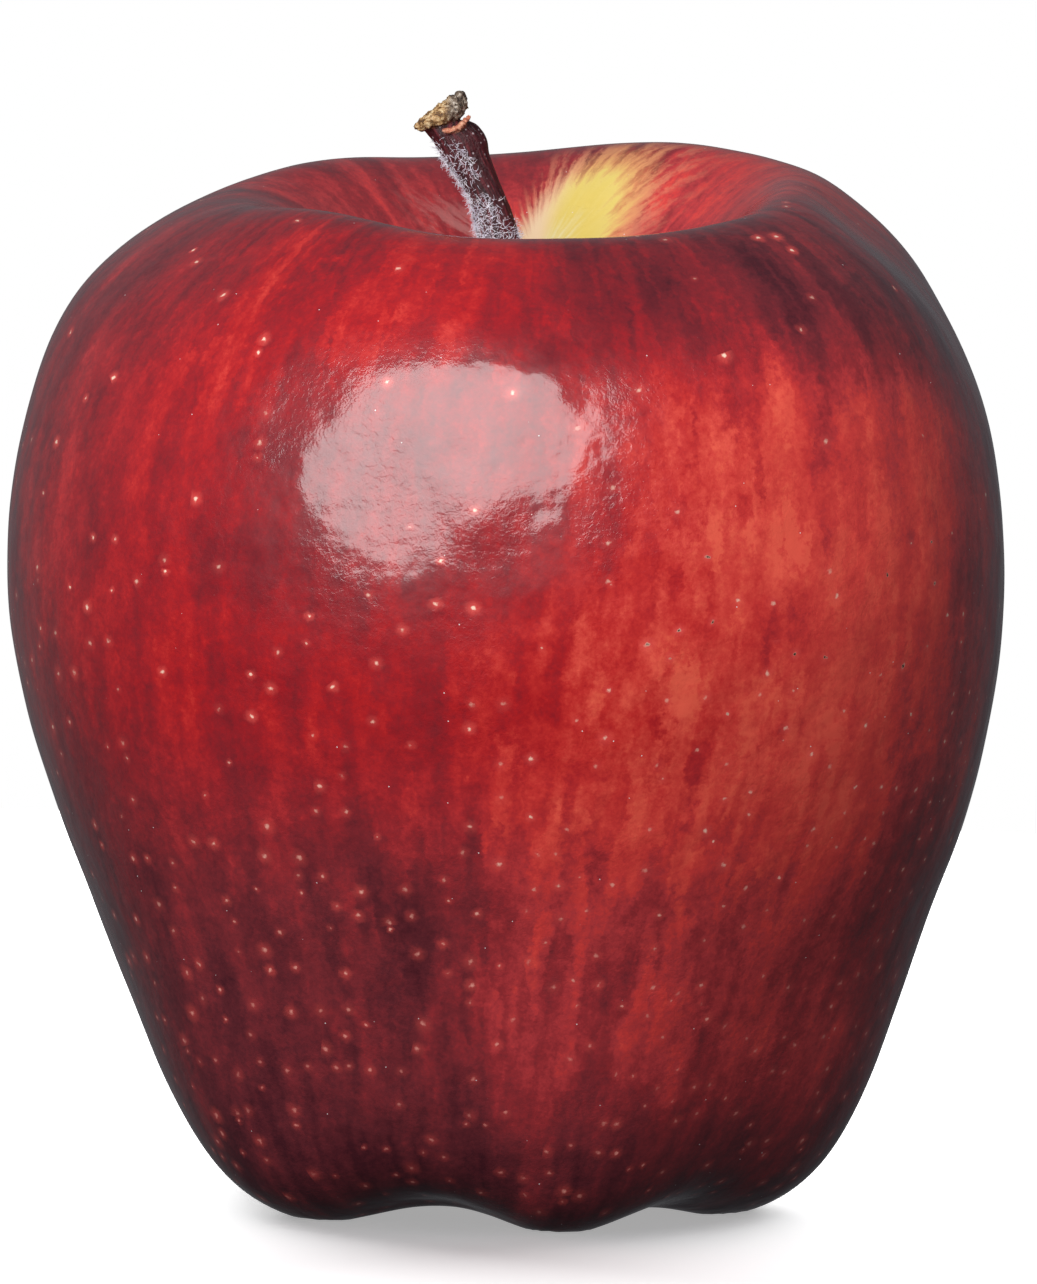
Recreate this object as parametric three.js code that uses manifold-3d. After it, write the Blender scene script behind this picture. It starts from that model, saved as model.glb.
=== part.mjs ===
// A red eating apple of the tall, five-footed kind, standing on its feet.
//
// Units are millimetres and +Z is up. The origin lies under the middle of the fruit, on the surface
// that it rests on, and -Y is its front. Azimuths are in degrees from the front, growing towards +X.
//
// The fruit is one solid, as the real one is. Its skin is a smooth surface over a few control rings
// round the core's axis, from the floor of the stem cavity, over the shoulder and down the flank, to
// the floor of the eye basin. The woody stem stands in a socket in the cavity. In the basin five dried
// sepals and the withered stamens are the eye.

import * as THREE from 'three';
import Module from 'manifold-3d';
import { ParametricGeometry } from 'three/addons/geometries/ParametricGeometry.js';
import { mergeVertices } from 'three/addons/utils/BufferGeometryUtils.js';

const wasm = await Module();
wasm.setup();

const DEG = THREE.MathUtils.DEG2RAD;

// ---------------------------------------------------------------- driving dimensions

// The core's axis, measured from the middle of the fruit.
const CORE_X = 1.16;
const CORE_Y = 0;

// How far the feet are worn flat, which makes the small flats that the fruit rests on.
const FEET_CUT = 0.35;

// Control rings of the skin, with each ring's radius and its height over the uncut feet. Lobes swell a
// ring's radius by that share, drop it to make a foot, and raise it to make a crown.
const RINGS = [
  { radius: 0.0, height: 61.7, swell: 0.0, drop: 0.0, rise: 0.0 },
  { radius: 2.4, height: 61.8, swell: 0.0, drop: 0.0, rise: 0.0 },
  { radius: 5.2, height: 64.6, swell: 0.0, drop: 0.0, rise: 0.0 },
  { radius: 9.0, height: 71.4, swell: 0.02, drop: 0.0, rise: 0.3 },
  { radius: 14.4, height: 77.5, swell: 0.02, drop: 0.0, rise: 0.8 },
  { radius: 21.8, height: 82.5, swell: -0.07, drop: 0.0, rise: 1.2 },
  { radius: 29.8, height: 78.0, swell: -0.14, drop: 0.0, rise: 1.2 },
  { radius: 35.0, height: 73.4, swell: -0.09, drop: 0.0, rise: 0.8 },
  { radius: 38.0, height: 62.9, swell: -0.03, drop: 0.0, rise: 0.3 },
  { radius: 39.0, height: 49.0, swell: -0.02, drop: 0.0, rise: 0.0 },
  { radius: 35.4, height: 34.6, swell: 0.02, drop: 0.0, rise: 0.0 },
  { radius: 30.1, height: 22.5, swell: 0.04, drop: 0.0, rise: 0.0 },
  { radius: 26.4, height: 13.2, swell: 0.08, drop: 1.8, rise: 0.0 },
  { radius: 21.6, height: 4.4, swell: 0.11, drop: 2.2, rise: 0.0 },
  { radius: 15.4, height: 4.2, swell: 0.13, drop: 4.5, rise: 0.0 },
  { radius: 13.4, height: 0.9, swell: 0.12, drop: 0.5, rise: 0.0 },
  { radius: 8.2, height: 7.5, swell: 0.1, drop: 0.6, rise: 0.0 },
  { radius: 4.0, height: 10.4, swell: 0.05, drop: 0.0, rise: 0.0 },
  { radius: 0.0, height: 10.8, swell: 0.0, drop: 0.0, rise: 0.0 },
];

// The five lobes, one over each seed chamber, with how strongly each shows at its foot, on the flank
// and at the crown.
const LOBES = [
  { azimuth: 23, foot: 1.07, side: 0.5, crown: -0.3 },
  { azimuth: 87, foot: 1.08, side: 1.9, crown: 0.4 },
  { azimuth: 148, foot: 1.06, side: 0.8, crown: 1.4 },
  { azimuth: 234, foot: 1.07, side: 1.1, crown: 1.6 },
  { azimuth: 308, foot: 1.04, side: 1.1, crown: 1.3 },
];
const LOBE_TIGHTNESS = { foot: 9, side: 8, crown: 7 };
const MEAN_SWELL = 0.5;

const FRUIT_OVAL = 0.05; // wider than its mean from side to side, and narrower from front to back
const BASE_LEAN = -1.6; // the base lies this far to the left of the crown
const LEAN_HEIGHT = 81;
const CROWN_TILT = { rise: 3.0, atRadius: 25, azimuth: 152, from: 38, to: 81 };

const FRUIT_STEPS = { around: 72, along: 42 };

// The stem: its centre line from the core's axis, and its half width and half depth along it. It ends
// in a flared break, on whose right the stub of the spur that bore it still stands.
const STEM_LINE = [
  [-0.3, 0.0, 60.3],
  [-0.3, 0.0, 66.0],
  [-0.9, -0.1, 72.5],
  [-2.4, -0.2, 78.2],
  [-4.2, -0.4, 82.7],
  [-6.3, -0.5, 86.4],
];
const STEM_SECTIONS = [
  { at: 0.0, width: 1.75, depth: 1.75 },
  { at: 0.25, width: 1.55, depth: 1.55 },
  { at: 0.6, width: 1.58, depth: 1.5 },
  { at: 0.72, width: 1.48, depth: 1.45 },
  { at: 0.88, width: 1.75, depth: 1.55 },
  { at: 1.0, width: 2.4, depth: 1.9 },
];
const STEM_STEPS = { around: 20, along: 26 };
const STUB_LINE = [
  [-5.9, -0.5, 85.2],
  [-6.6, -0.5, 87.2],
  [-6.2, -0.45, 88.5],
  [-5.8, -0.4, 89.7],
];
const STUB_SECTIONS = [
  { at: 0.0, width: 1.9, depth: 1.5 },
  { at: 0.33, width: 1.75, depth: 1.4 },
  { at: 0.7, width: 1.1, depth: 0.9 },
  { at: 1.0, width: 0.5, depth: 0.45 },
];
const STUB_STEPS = { around: 14, along: 10 };

// The sockets in the fruit, with the gap that a piece keeps to its neighbour.
const GAP = 0.3;
const STEM_SOCKET_DEPTH = 1.8;
const EYE_TUBE = { radius: 1.1, depth: 3.2 };

// One sepal, as a curve in its own radial plane: distance from the eye's axis and height below the
// basin's floor. It stands round the eye, closes over it and curls outward at its tip.
const SEPAL_COUNT = 5;
const SEPAL_FIRST_AZIMUTH = 54;
const SEPAL_LINE = [
  [3.3, -1.05],
  [2.75, -2.3],
  [2.25, -3.8],
  [2.9, -5.5],
  [4.3, -6.3],
];
const SEPAL_SECTIONS = [
  { at: 0.0, width: 1.5, depth: 0.3 },
  { at: 0.35, width: 1.2, depth: 0.28 },
  { at: 0.6, width: 0.95, depth: 0.24 },
  { at: 1.0, width: 0.2, depth: 0.14 },
];
const SEPAL_STEPS = { around: 12, along: 14 };

const STAMENS = { rootRadius: 0.6, waistRadius: 0.5, tipRadius: 0.9, above: 2.6, below: 4.0 };
const STAMEN_SIDES = 16;

// ---------------------------------------------------------------- the skin as a formula

// Weights of four neighbouring control rings, of which t (0 to 1) lies between the middle two.
function ringWeights(t) {
  return [
    (1 - t) ** 3 / 6,
    (3 * t ** 3 - 6 * t ** 2 + 4) / 6,
    (-3 * t ** 3 + 3 * t ** 2 + 3 * t + 1) / 6,
    t ** 3 / 6,
  ];
}

// A control ring by number. Past either pole the rings go on down the far side of the axis.
function controlRing(index) {
  const last = RINGS.length - 1;
  if (index < 0) return { ...RINGS[-index], radius: -RINGS[-index].radius };
  if (index > last) return { ...RINGS[2 * last - index], radius: -RINGS[2 * last - index].radius };
  return RINGS[index];
}

// How strongly the lobes show at an azimuth (radians), for the foot, the side or the crown.
function lobeStrength(kind, azimuth) {
  return LOBES.reduce((sum, lobe) => {
    const away = Math.cos(azimuth - lobe.azimuth * DEG) - 1;
    return sum + lobe[kind] * Math.exp(LOBE_TIGHTNESS[kind] * away);
  }, 0);
}

// A point of the skin: azimuth in radians, and along from 0 in the stem cavity to 1 in the eye basin.
function skinPoint(azimuth, along, target) {
  const foot = lobeStrength('foot', azimuth);
  const side = lobeStrength('side', azimuth);
  const crown = lobeStrength('crown', azimuth);
  const spans = RINGS.length - 1;
  const span = Math.min(Math.floor(along * spans), spans - 1);

  let radius = 0;
  let height = 0;
  ringWeights(along * spans - span).forEach((weight, k) => {
    const ring = controlRing(span - 1 + k);
    radius += weight * ring.radius * (1 + ring.swell * (side - MEAN_SWELL));
    height += weight * (ring.height - ring.drop * foot + ring.rise * crown);
  });

  const lean = BASE_LEAN * (1 - height / LEAN_HEIGHT);
  const oval = 1 - FRUIT_OVAL * Math.cos(2 * azimuth);
  const tilt = THREE.MathUtils.smoothstep(height, CROWN_TILT.from, CROWN_TILT.to) * CROWN_TILT.rise
    * (radius / CROWN_TILT.atRadius) * Math.cos(azimuth - CROWN_TILT.azimuth * DEG);
  return target.set(
    (radius * Math.sin(azimuth) + lean) * oval,
    -radius * Math.cos(azimuth) * oval,
    height + tilt - FEET_CUT,
  );
}

// ---------------------------------------------------------------- geometry helpers

// Merges the shared vertices of a closed geometry and drops the empty triangles at its poles.
function weld(geometry) {
  geometry.deleteAttribute('normal');
  geometry.deleteAttribute('uv');
  const welded = mergeVertices(geometry);
  const corners = Array.from(welded.index.array);
  const kept = [];
  for (let i = 0; i < corners.length; i += 3) {
    const [a, b, c] = corners.slice(i, i + 3);
    if (a !== b && b !== c && c !== a) kept.push(a, b, c);
  }
  welded.setIndex(kept);
  return welded;
}

function toSolid(geometry) {
  const { position } = geometry.attributes;
  return new wasm.Manifold(new wasm.Mesh({
    numProp: 3,
    vertProperties: new Float32Array(position.array),
    triVerts: new Uint32Array(geometry.index.array),
  }));
}

function toGeometry(solid) {
  const { vertProperties, triVerts } = solid.getMesh();
  const geometry = new THREE.BufferGeometry();
  geometry.setAttribute('position', new THREE.BufferAttribute(vertProperties, 3));
  geometry.setIndex(new THREE.BufferAttribute(triVerts, 1));
  geometry.computeVertexNormals();
  return geometry;
}

// The half width and half depth at t, eased between the listed sections.
function sectionAt(sections, t) {
  const next = Math.max(1, sections.findIndex((section) => section.at >= t));
  const [low, high] = [sections[next - 1], sections[next]];
  const ease = THREE.MathUtils.smoothstep(t, low.at, high.at);
  return {
    width: THREE.MathUtils.lerp(low.width, high.width, ease),
    depth: THREE.MathUtils.lerp(low.depth, high.depth, ease),
  };
}

// A closed tube along a curve that lies near one plane. sideways is that plane's normal, along which
// the section's first half size is measured; its second one lies in the plane.
function taperedTube(points, sideways, halfSizes, steps) {
  const curve = new THREE.CatmullRomCurve3(points);
  const tangent = new THREE.Vector3();
  const across = new THREE.Vector3();
  const normal = new THREE.Vector3();
  return weld(new ParametricGeometry((u, v, target) => {
    const t = THREE.MathUtils.clamp((v * steps.along - 1) / (steps.along - 2), 0, 1);
    const isPole = v === 0 || v === 1;
    const [sidewaysHalf, planeHalf] = isPole ? [0, 0] : halfSizes(t);
    const turn = -(u % 1) * 2 * Math.PI;
    curve.getTangent(t, tangent);
    normal.crossVectors(tangent, sideways).normalize();
    across.crossVectors(normal, tangent).normalize();
    curve.getPoint(t, target);
    target.addScaledVector(across, sidewaysHalf * Math.sin(turn));
    target.addScaledVector(normal, planeHalf * Math.cos(turn));
  }, steps.around, steps.along));
}

function pieceOf(name, geometry, color, roughness) {
  const material = new THREE.MeshStandardMaterial({ color, roughness, metalness: 0 });
  const mesh = new THREE.Mesh(geometry, material);
  mesh.name = name;
  return mesh;
}

// ---------------------------------------------------------------- the stem

const FRONT_TO_BACK = new THREE.Vector3(0, 1, 0);

function stalkGeometry(line, sections, steps) {
  const points = line.map((point) => new THREE.Vector3(...point));
  points.forEach((point) => point.setZ(point.z - FEET_CUT));
  const halfSizes = (t) => {
    const { width, depth } = sectionAt(sections, t);
    return [depth, width];
  };
  return taperedTube(points, FRONT_TO_BACK, halfSizes, steps);
}

function makeStem() {
  const stalk = toSolid(stalkGeometry(STEM_LINE, STEM_SECTIONS, STEM_STEPS));
  const stub = toSolid(stalkGeometry(STUB_LINE, STUB_SECTIONS, STUB_STEPS));
  return pieceOf('stem', toGeometry(stalk.add(stub)), '#3a1a1c', 0.8);
}

// ---------------------------------------------------------------- the fruit

// A cylinder along Z whose round sides stand clear of what goes into it.
function boring(radius, low, high, x, y) {
  const geometry = new THREE.CylinderGeometry(radius, radius, high - low, 24);
  geometry.rotateX(90 * DEG);
  geometry.translate(x, y, (low + high) / 2);
  return toSolid(weld(geometry));
}

function makeFruit() {
  const skin = toSolid(weld(new ParametricGeometry((u, v, target) => {
    skinPoint(-(u % 1) * 2 * Math.PI, v, target);
  }, FRUIT_STEPS.around, FRUIT_STEPS.along)));

  const cavityFloor = skinPoint(0, 0, new THREE.Vector3());
  const stemRoot = STEM_LINE[0];
  const stemSocket = boring(
    STEM_SECTIONS[0].width + GAP,
    cavityFloor.z - STEM_SOCKET_DEPTH,
    cavityFloor.z + STEM_SOCKET_DEPTH,
    stemRoot[0],
    stemRoot[1],
  );

  const basinFloor = skinPoint(0, 1, new THREE.Vector3());
  const eyeTube = boring(
    EYE_TUBE.radius,
    basinFloor.z - EYE_TUBE.depth,
    basinFloor.z + EYE_TUBE.depth,
    basinFloor.x,
    basinFloor.y,
  );

  const solid = skin.trimByPlane([0, 0, 1], 0).subtract(stemSocket).subtract(eyeTube);
  return pieceOf('fruit', toGeometry(solid), '#a01c24', 0.25);
}

// ---------------------------------------------------------------- the eye

// The eye is built round its own axis, with the basin's floor at height 0.
function makeSepal(number) {
  const azimuth = (SEPAL_FIRST_AZIMUTH + ((number - 1) * 360) / SEPAL_COUNT) * DEG;
  const outward = new THREE.Vector3(Math.sin(azimuth), -Math.cos(azimuth), 0);
  const sideways = new THREE.Vector3(Math.cos(azimuth), Math.sin(azimuth), 0);
  const points = SEPAL_LINE.map(([out, down]) => outward.clone().multiplyScalar(out).setZ(down));
  const halfSizes = (t) => {
    const { width, depth } = sectionAt(SEPAL_SECTIONS, t);
    return [width, depth];
  };
  const geometry = taperedTube(points, sideways, halfSizes, SEPAL_STEPS);
  return pieceOf(`sepal_${number}`, geometry, '#5a4a38', 0.9);
}

function makeStamens() {
  const { rootRadius, waistRadius, tipRadius, above, below } = STAMENS;
  const profile = [
    new THREE.Vector2(0, -below),
    new THREE.Vector2(tipRadius, -below),
    new THREE.Vector2(waistRadius, -below / 2),
    new THREE.Vector2(rootRadius, 0),
    new THREE.Vector2(rootRadius, above),
    new THREE.Vector2(0, above),
  ];
  const geometry = new THREE.LatheGeometry(profile, STAMEN_SIDES);
  geometry.rotateX(90 * DEG);
  return pieceOf('stamens', weld(geometry), '#3b2f26', 0.95);
}

function makeEye() {
  const eye = new THREE.Group();
  eye.position.copy(skinPoint(0, 1, new THREE.Vector3()));
  for (let number = 1; number <= SEPAL_COUNT; number += 1) eye.add(makeSepal(number));
  eye.add(makeStamens());
  return eye;
}

// ---------------------------------------------------------------- the apple

const apple = new THREE.Group();
apple.position.set(CORE_X, CORE_Y, 0);
apple.add(makeFruit(), makeStem(), makeEye());

export default apple;
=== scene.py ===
# %% [markdown]
# # A red eating apple
#
# This lesson dresses a plain CAD apple until it looks like the real fruit. The apple is of the tall,
# five-footed kind and stands on its feet. It has a waxed skin with pale breathing pores, a woody stem
# with a torn end, and in the basin underneath the dried remains of the flower.
#
# The CAD model is loaded first and never changed. Each finer piece then stands in for one of its
# solids. Everything is in metres and +Z is up. The origin lies under the middle of the fruit and -Y is
# its front. An azimuth is an angle round the core, from the front and growing towards +X.

# %% Load the frame
import math

import bpy
import numpy as np
from mathutils import Matrix, Vector, noise


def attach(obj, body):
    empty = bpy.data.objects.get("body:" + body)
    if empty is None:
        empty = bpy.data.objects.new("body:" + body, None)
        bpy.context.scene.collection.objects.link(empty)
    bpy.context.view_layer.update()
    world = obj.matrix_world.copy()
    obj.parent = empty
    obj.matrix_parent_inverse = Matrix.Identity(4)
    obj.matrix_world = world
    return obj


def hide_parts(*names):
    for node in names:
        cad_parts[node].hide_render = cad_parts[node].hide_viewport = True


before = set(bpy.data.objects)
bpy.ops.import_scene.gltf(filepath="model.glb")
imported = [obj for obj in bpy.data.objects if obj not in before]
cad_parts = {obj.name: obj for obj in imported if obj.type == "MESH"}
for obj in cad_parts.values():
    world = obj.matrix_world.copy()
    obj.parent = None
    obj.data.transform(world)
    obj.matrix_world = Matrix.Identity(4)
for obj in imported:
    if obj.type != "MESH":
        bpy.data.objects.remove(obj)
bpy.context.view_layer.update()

MM = 0.001
MM_PER_M = 1000.0

# %% [markdown]
# ## Two helpers for node trees
#
# Every material and every Geometry Nodes tree below is built node by node. One function adds a node,
# sets its properties and feeds its inputs with values or with other nodes. Colours are written as the
# hex values that a paint program shows, and one function turns them to the linear values that the
# renderer counts in.

# %% Node and colour helpers
def add(tree, kind, feeds=None, **settings):
    """Adds a node. settings are its properties, and feeds gives an input a value, a socket or a node."""
    made = tree.nodes.new(kind)
    for name, value in settings.items():
        setattr(made, name, value)
    for slot, value in (feeds or {}).items():
        if isinstance(slot, str):
            socket = next(one for one in made.inputs if one.name == slot and one.enabled)
        else:
            socket = made.inputs[slot]
        if isinstance(value, bpy.types.Node):
            value = next(one for one in value.outputs if one.enabled)
        if isinstance(value, bpy.types.NodeSocket):
            tree.links.new(value, socket)
        else:
            socket.default_value = value
    return made


def from_hex(colour):
    """An sRGB hex colour as the linear red, green, blue and alpha that shaders use."""
    parts = [int(colour[i:i + 2], 16) / 255 for i in (1, 3, 5)]
    return (*[c / 12.92 if c <= 0.04045 else ((c + 0.055) / 1.055) ** 2.4 for c in parts], 1.0)


def set_ramp(ramp, stops):
    """Gives a Color Ramp node its stops, as (position, hex colour)."""
    while len(ramp.color_ramp.elements) > 1:
        ramp.color_ramp.elements.remove(ramp.color_ramp.elements[-1])
    for place, (position, colour) in enumerate(stops):
        stop = ramp.color_ramp.elements[0] if place == 0 else ramp.color_ramp.elements.new(position)
        stop.position = position
        stop.color = from_hex(colour)
    return ramp


# %% Geometry Nodes helpers
def open_tree(name, sizes):
    """Starts a Geometry Nodes tree with one named input for each size. Gives the tree and its input node."""
    tree = bpy.data.node_groups.new(name, "GeometryNodeTree")
    tree.interface.new_socket(name="Geometry", in_out="INPUT", socket_type="NodeSocketGeometry")
    tree.interface.new_socket(name="Geometry", in_out="OUTPUT", socket_type="NodeSocketGeometry")
    for label, value in sizes.items():
        kind = {
            int: "NodeSocketInt", bpy.types.Material: "NodeSocketMaterial",
        }.get(type(value), "NodeSocketFloat")
        tree.interface.new_socket(name=label, in_out="INPUT", socket_type=kind)
    return tree, add(tree, "NodeGroupInput")


def close_tree(tree, geometry, material):
    """Ends a tree in real geometry with its material on it."""
    real = add(tree, "GeometryNodeRealizeInstances", {"Geometry": geometry})
    dressed = add(tree, "GeometryNodeSetMaterial", {"Geometry": real, "Material": material})
    add(tree, "NodeGroupOutput", {"Geometry": dressed})


def grow(name, seed, tree, sizes):
    """Runs a tree on the seed object and keeps the result as a plain mesh. The seed is thrown away."""
    modifier = seed.modifiers.new(tree.name, "NODES")
    modifier.node_group = tree
    for item in tree.interface.items_tree:
        if item.item_type == "SOCKET" and item.in_out == "INPUT" and item.name in sizes:
            modifier[item.identifier] = sizes[item.name]
    evaluated = seed.evaluated_get(bpy.context.evaluated_depsgraph_get())
    mesh = bpy.data.meshes.new_from_object(evaluated)
    mesh.name = name
    piece = bpy.data.objects.new(name, mesh)
    bpy.context.scene.collection.objects.link(piece)
    bpy.data.objects.remove(seed)
    low, high = span_of(piece)
    print(f"{name}: {len(mesh.polygons)} faces, {low} to {high} mm")
    return piece


def span_of(piece):
    """The lowest and highest corner of a mesh, in millimetres."""
    points = np.empty(len(piece.data.vertices) * 3)
    piece.data.vertices.foreach_get("co", points)
    points = points.reshape(-1, 3) * MM_PER_M
    return points.min(axis=0).round(2).tolist(), points.max(axis=0).round(2).tolist()


def object_from(name, points, faces=(), values=None):
    """A mesh object from points, faces and named values (floats or vectors) on its points."""
    mesh = bpy.data.meshes.new(name)
    mesh.from_pydata([tuple(point) for point in points], [], [tuple(face) for face in faces])
    for label, numbers in (values or {}).items():
        numbers = np.asarray(numbers, dtype=float)
        kind, field = ("FLOAT_VECTOR", "vector") if numbers.ndim == 2 else ("FLOAT", "value")
        mesh.attributes.new(label, kind, "POINT").data.foreach_set(field, numbers.ravel())
    piece = bpy.data.objects.new(name, mesh)
    bpy.context.scene.collection.objects.link(piece)
    return piece


# %% [markdown]
# ## The camera
#
# The apple was looked at from 70 cm away with a long lens, from just above the level of its middle,
# and the camera was tipped a little to one side. A long lens keeps the fruit from bulging towards us.
# The camera aims slightly above the point that it is measured from, which puts the fruit low in the
# frame with room for the stem.

# %% Camera
# The elevation, roll, aim and scale were found by a separate fitting program and then rounded.
FRAME_HEIGHT = 1284
VIEW_POINT = Vector((1.16, 0.0, 40.15)) * MM
VIEW_DISTANCE = 0.700
VIEW_ELEVATION = math.radians(5.2)
AIM_ABOVE = math.radians(0.4086)
CAMERA_ROLL = math.radians(1.35)
PIXELS_PER_RADIAN = 8750

camera_data = bpy.data.cameras.new("camera")
camera_data.sensor_fit = "VERTICAL"
camera_data.sensor_height = 36.0
camera_data.lens = PIXELS_PER_RADIAN / FRAME_HEIGHT * camera_data.sensor_height
camera_data.clip_start = 0.01
camera = bpy.data.objects.new("camera", camera_data)
bpy.context.scene.collection.objects.link(camera)
towards_camera = Vector((0, -math.cos(VIEW_ELEVATION), math.sin(VIEW_ELEVATION)))
tip = Matrix.Rotation(math.radians(90) - VIEW_ELEVATION + AIM_ABOVE, 4, "X")
roll = Matrix.Rotation(CAMERA_ROLL, 4, "Z")
camera.matrix_world = Matrix.Translation(VIEW_POINT + towards_camera * VIEW_DISTANCE) @ tip @ roll
bpy.context.scene.camera = camera
print("lens:", round(camera_data.lens, 1), "mm")

# %% [markdown]
# ## The skin's shape
#
# An apple's form follows a rule. Round the core's axis it is turned like a vase: a stem cavity, a
# shoulder, a flank that narrows downwards and a basin. Five seed chambers then push it out into five
# lobes, which show as humps at the crown and as feet at the base. It grew a little wider than deep, its
# base leans to one side and one side of its crown stands higher.
#
# So Geometry Nodes turn one profile round the axis and add the lobes. The profile is a smooth curve
# over a few control rings, and each ring also says how much a lobe swells, drops or lifts it. The
# lobes stay live, named inputs of the tree, which makes it easy to grow a sister apple.

# %% Control rings of the profile
# Radius and height over the uncut feet, and how far a lobe swells (a share of the radius), drops and
# lifts the ring, in millimetres. Most of these numbers were not set by hand. A separate fitting
# program found them, and those of the lobes below, and they were then rounded.
RINGS = np.array([
    (0.0, 61.7, 0.0, 0.0, 0.0), (2.4, 61.8, 0.0, 0.0, 0.0), (5.2, 64.6, 0.0, 0.0, 0.0),
    (9.0, 71.4, 0.02, 0.0, 0.3), (14.4, 77.5, 0.02, 0.0, 0.8), (21.8, 82.5, -0.07, 0.0, 1.2),
    (29.8, 78.0, -0.14, 0.0, 1.2), (35.0, 73.4, -0.09, 0.0, 0.8), (38.0, 62.9, -0.03, 0.0, 0.3),
    (39.0, 49.0, -0.02, 0.0, 0.0), (35.4, 34.6, 0.02, 0.0, 0.0), (30.1, 22.5, 0.04, 0.0, 0.0),
    (26.4, 13.2, 0.08, 1.8, 0.0), (21.6, 4.4, 0.11, 2.2, 0.0), (15.4, 4.2, 0.13, 4.5, 0.0),
    (13.4, 0.9, 0.12, 0.5, 0.0), (8.2, 7.5, 0.1, 0.6, 0.0), (4.0, 10.4, 0.05, 0.0, 0.0),
    (0.0, 10.8, 0.0, 0.0, 0.0),
])
CORE_X = 1.16
FEET_CUT = 0.35


def profile_at(along):
    """The profile's radius, swell, height, drop and rise at places from 0 (cavity) to 18 (basin)."""
    rings = np.column_stack([RINGS[:, 0], RINGS[:, 0] * RINGS[:, 2], RINGS[:, 1], RINGS[:, 3], RINGS[:, 4]])
    over_the_pole = np.array([-1, -1, 1, 1, 1])
    rings = np.vstack([rings[1] * over_the_pole, rings, rings[-2] * over_the_pole])
    span = np.minimum(along.astype(int), len(RINGS) - 2)
    t = along - span
    weights = np.array(
        [(1 - t) ** 3, 3 * t ** 3 - 6 * t ** 2 + 4, -3 * t ** 3 + 3 * t ** 2 + 3 * t + 1, t ** 3],
    ) / 6
    return sum(weights[k][:, None] * rings[span + k] for k in range(4))


# %% The profile, in even steps of its length
PROFILE_ROWS = 236
fine = np.linspace(0, len(RINGS) - 1, 4000)
walk = profile_at(fine)
length = np.concatenate([[0], np.cumsum(np.hypot(np.diff(walk[:, 0]), np.diff(walk[:, 2])))])
even = np.linspace(0, length[-1], PROFILE_ROWS)
profile = profile_at(np.interp(even, length, fine))
PROFILE_FIELDS = {
    "radius": profile[:, 0], "swell": profile[:, 1], "height": profile[:, 2],
    "drop": profile[:, 3], "rise": profile[:, 4], "down": even,
}
profile_seed = object_from(
    "profile", [
        (radius * MM, 0, height * MM) for radius, height in profile[:, [0, 2]]
    ], values=PROFILE_FIELDS,
)
print(f"profile: {length[-1]:.1f} mm long, one row every {even[1]:.2f} mm")

# %% The lobes
# Azimuth in degrees, and how strongly the lobe shows at its foot, on the flank and at the crown.
LOBES = [
    (23, 1.07, 0.5, -0.3), (87, 1.08, 1.9, 0.4), (148, 1.06, 0.8, 1.4), (234, 1.07, 1.1, 1.6),
    (308, 1.04, 1.1, 1.3),
]
SKIN_SIZES = {
    "Steps around": 400, "Foot tightness": 9.0, "Side tightness": 8.0, "Crown tightness": 7.0,
    "Mean swell": 0.5, "Oval": 0.05, "Base lean": -1.6, "Lean height": 81.0, "Core X": CORE_X,
    "Tilt rise": 3.0, "Tilt radius": 25.0, "Tilt azimuth": math.radians(152), "Tilt from": 38.0,
    "Tilt to": 81.0, "Feet cut": FEET_CUT, "Wave height": 0.12, "Wave length": 14.0,
}
for number, (azimuth, foot, side, crown) in enumerate(LOBES, 1):
    SKIN_SIZES.update({
        f"Lobe {number} azimuth": math.radians(azimuth), f"Lobe {number} foot": foot,
        f"Lobe {number} side": side, f"Lobe {number} crown": float(crown),
    })
print(len(SKIN_SIZES), "inputs shape the skin")

# %% Skin tree: a grid whose rows are the profile and whose columns go round the core
SKIN = bpy.data.materials.new("waxed_apple_skin")
SKIN_SIZES["Skin"] = SKIN
skin_tree, skin_in = open_tree("apple skin", SKIN_SIZES)
size = skin_in.outputs
rows = add(skin_tree, "GeometryNodeAttributeDomainSize", {
    "Geometry": size["Geometry"],
}).outputs["Point Count"]
columns = add(skin_tree, "FunctionNodeIntegerMath", {0: size["Steps around"], 1: 1}, operation="ADD")
grid = add(skin_tree, "GeometryNodeMeshGrid", {"Vertices X": columns, "Vertices Y": rows})
index = add(skin_tree, "GeometryNodeInputIndex")
row = add(skin_tree, "FunctionNodeIntegerMath", {0: index, 1: rows}, operation="MODULO")
column = add(skin_tree, "FunctionNodeIntegerMath", {0: index, 1: rows}, operation="DIVIDE_FLOOR")
turn = add(skin_tree, "ShaderNodeMath", {0: column, 1: size["Steps around"]}, operation="DIVIDE")
azimuth = add(skin_tree, "ShaderNodeMath", {0: turn, 1: math.tau}, operation="MULTIPLY")
sine = add(skin_tree, "ShaderNodeMath", {0: azimuth}, operation="SINE")
cosine = add(skin_tree, "ShaderNodeMath", {0: azimuth}, operation="COSINE")

ring = {}
for field in PROFILE_FIELDS:
    named = add(skin_tree, "GeometryNodeInputNamedAttribute", {"Name": field}, data_type="FLOAT")
    ring[field] = add(skin_tree, "GeometryNodeSampleIndex", {
        "Geometry": size["Geometry"], "Value": named, "Index": row,
    }, data_type="FLOAT", domain="POINT")

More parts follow.
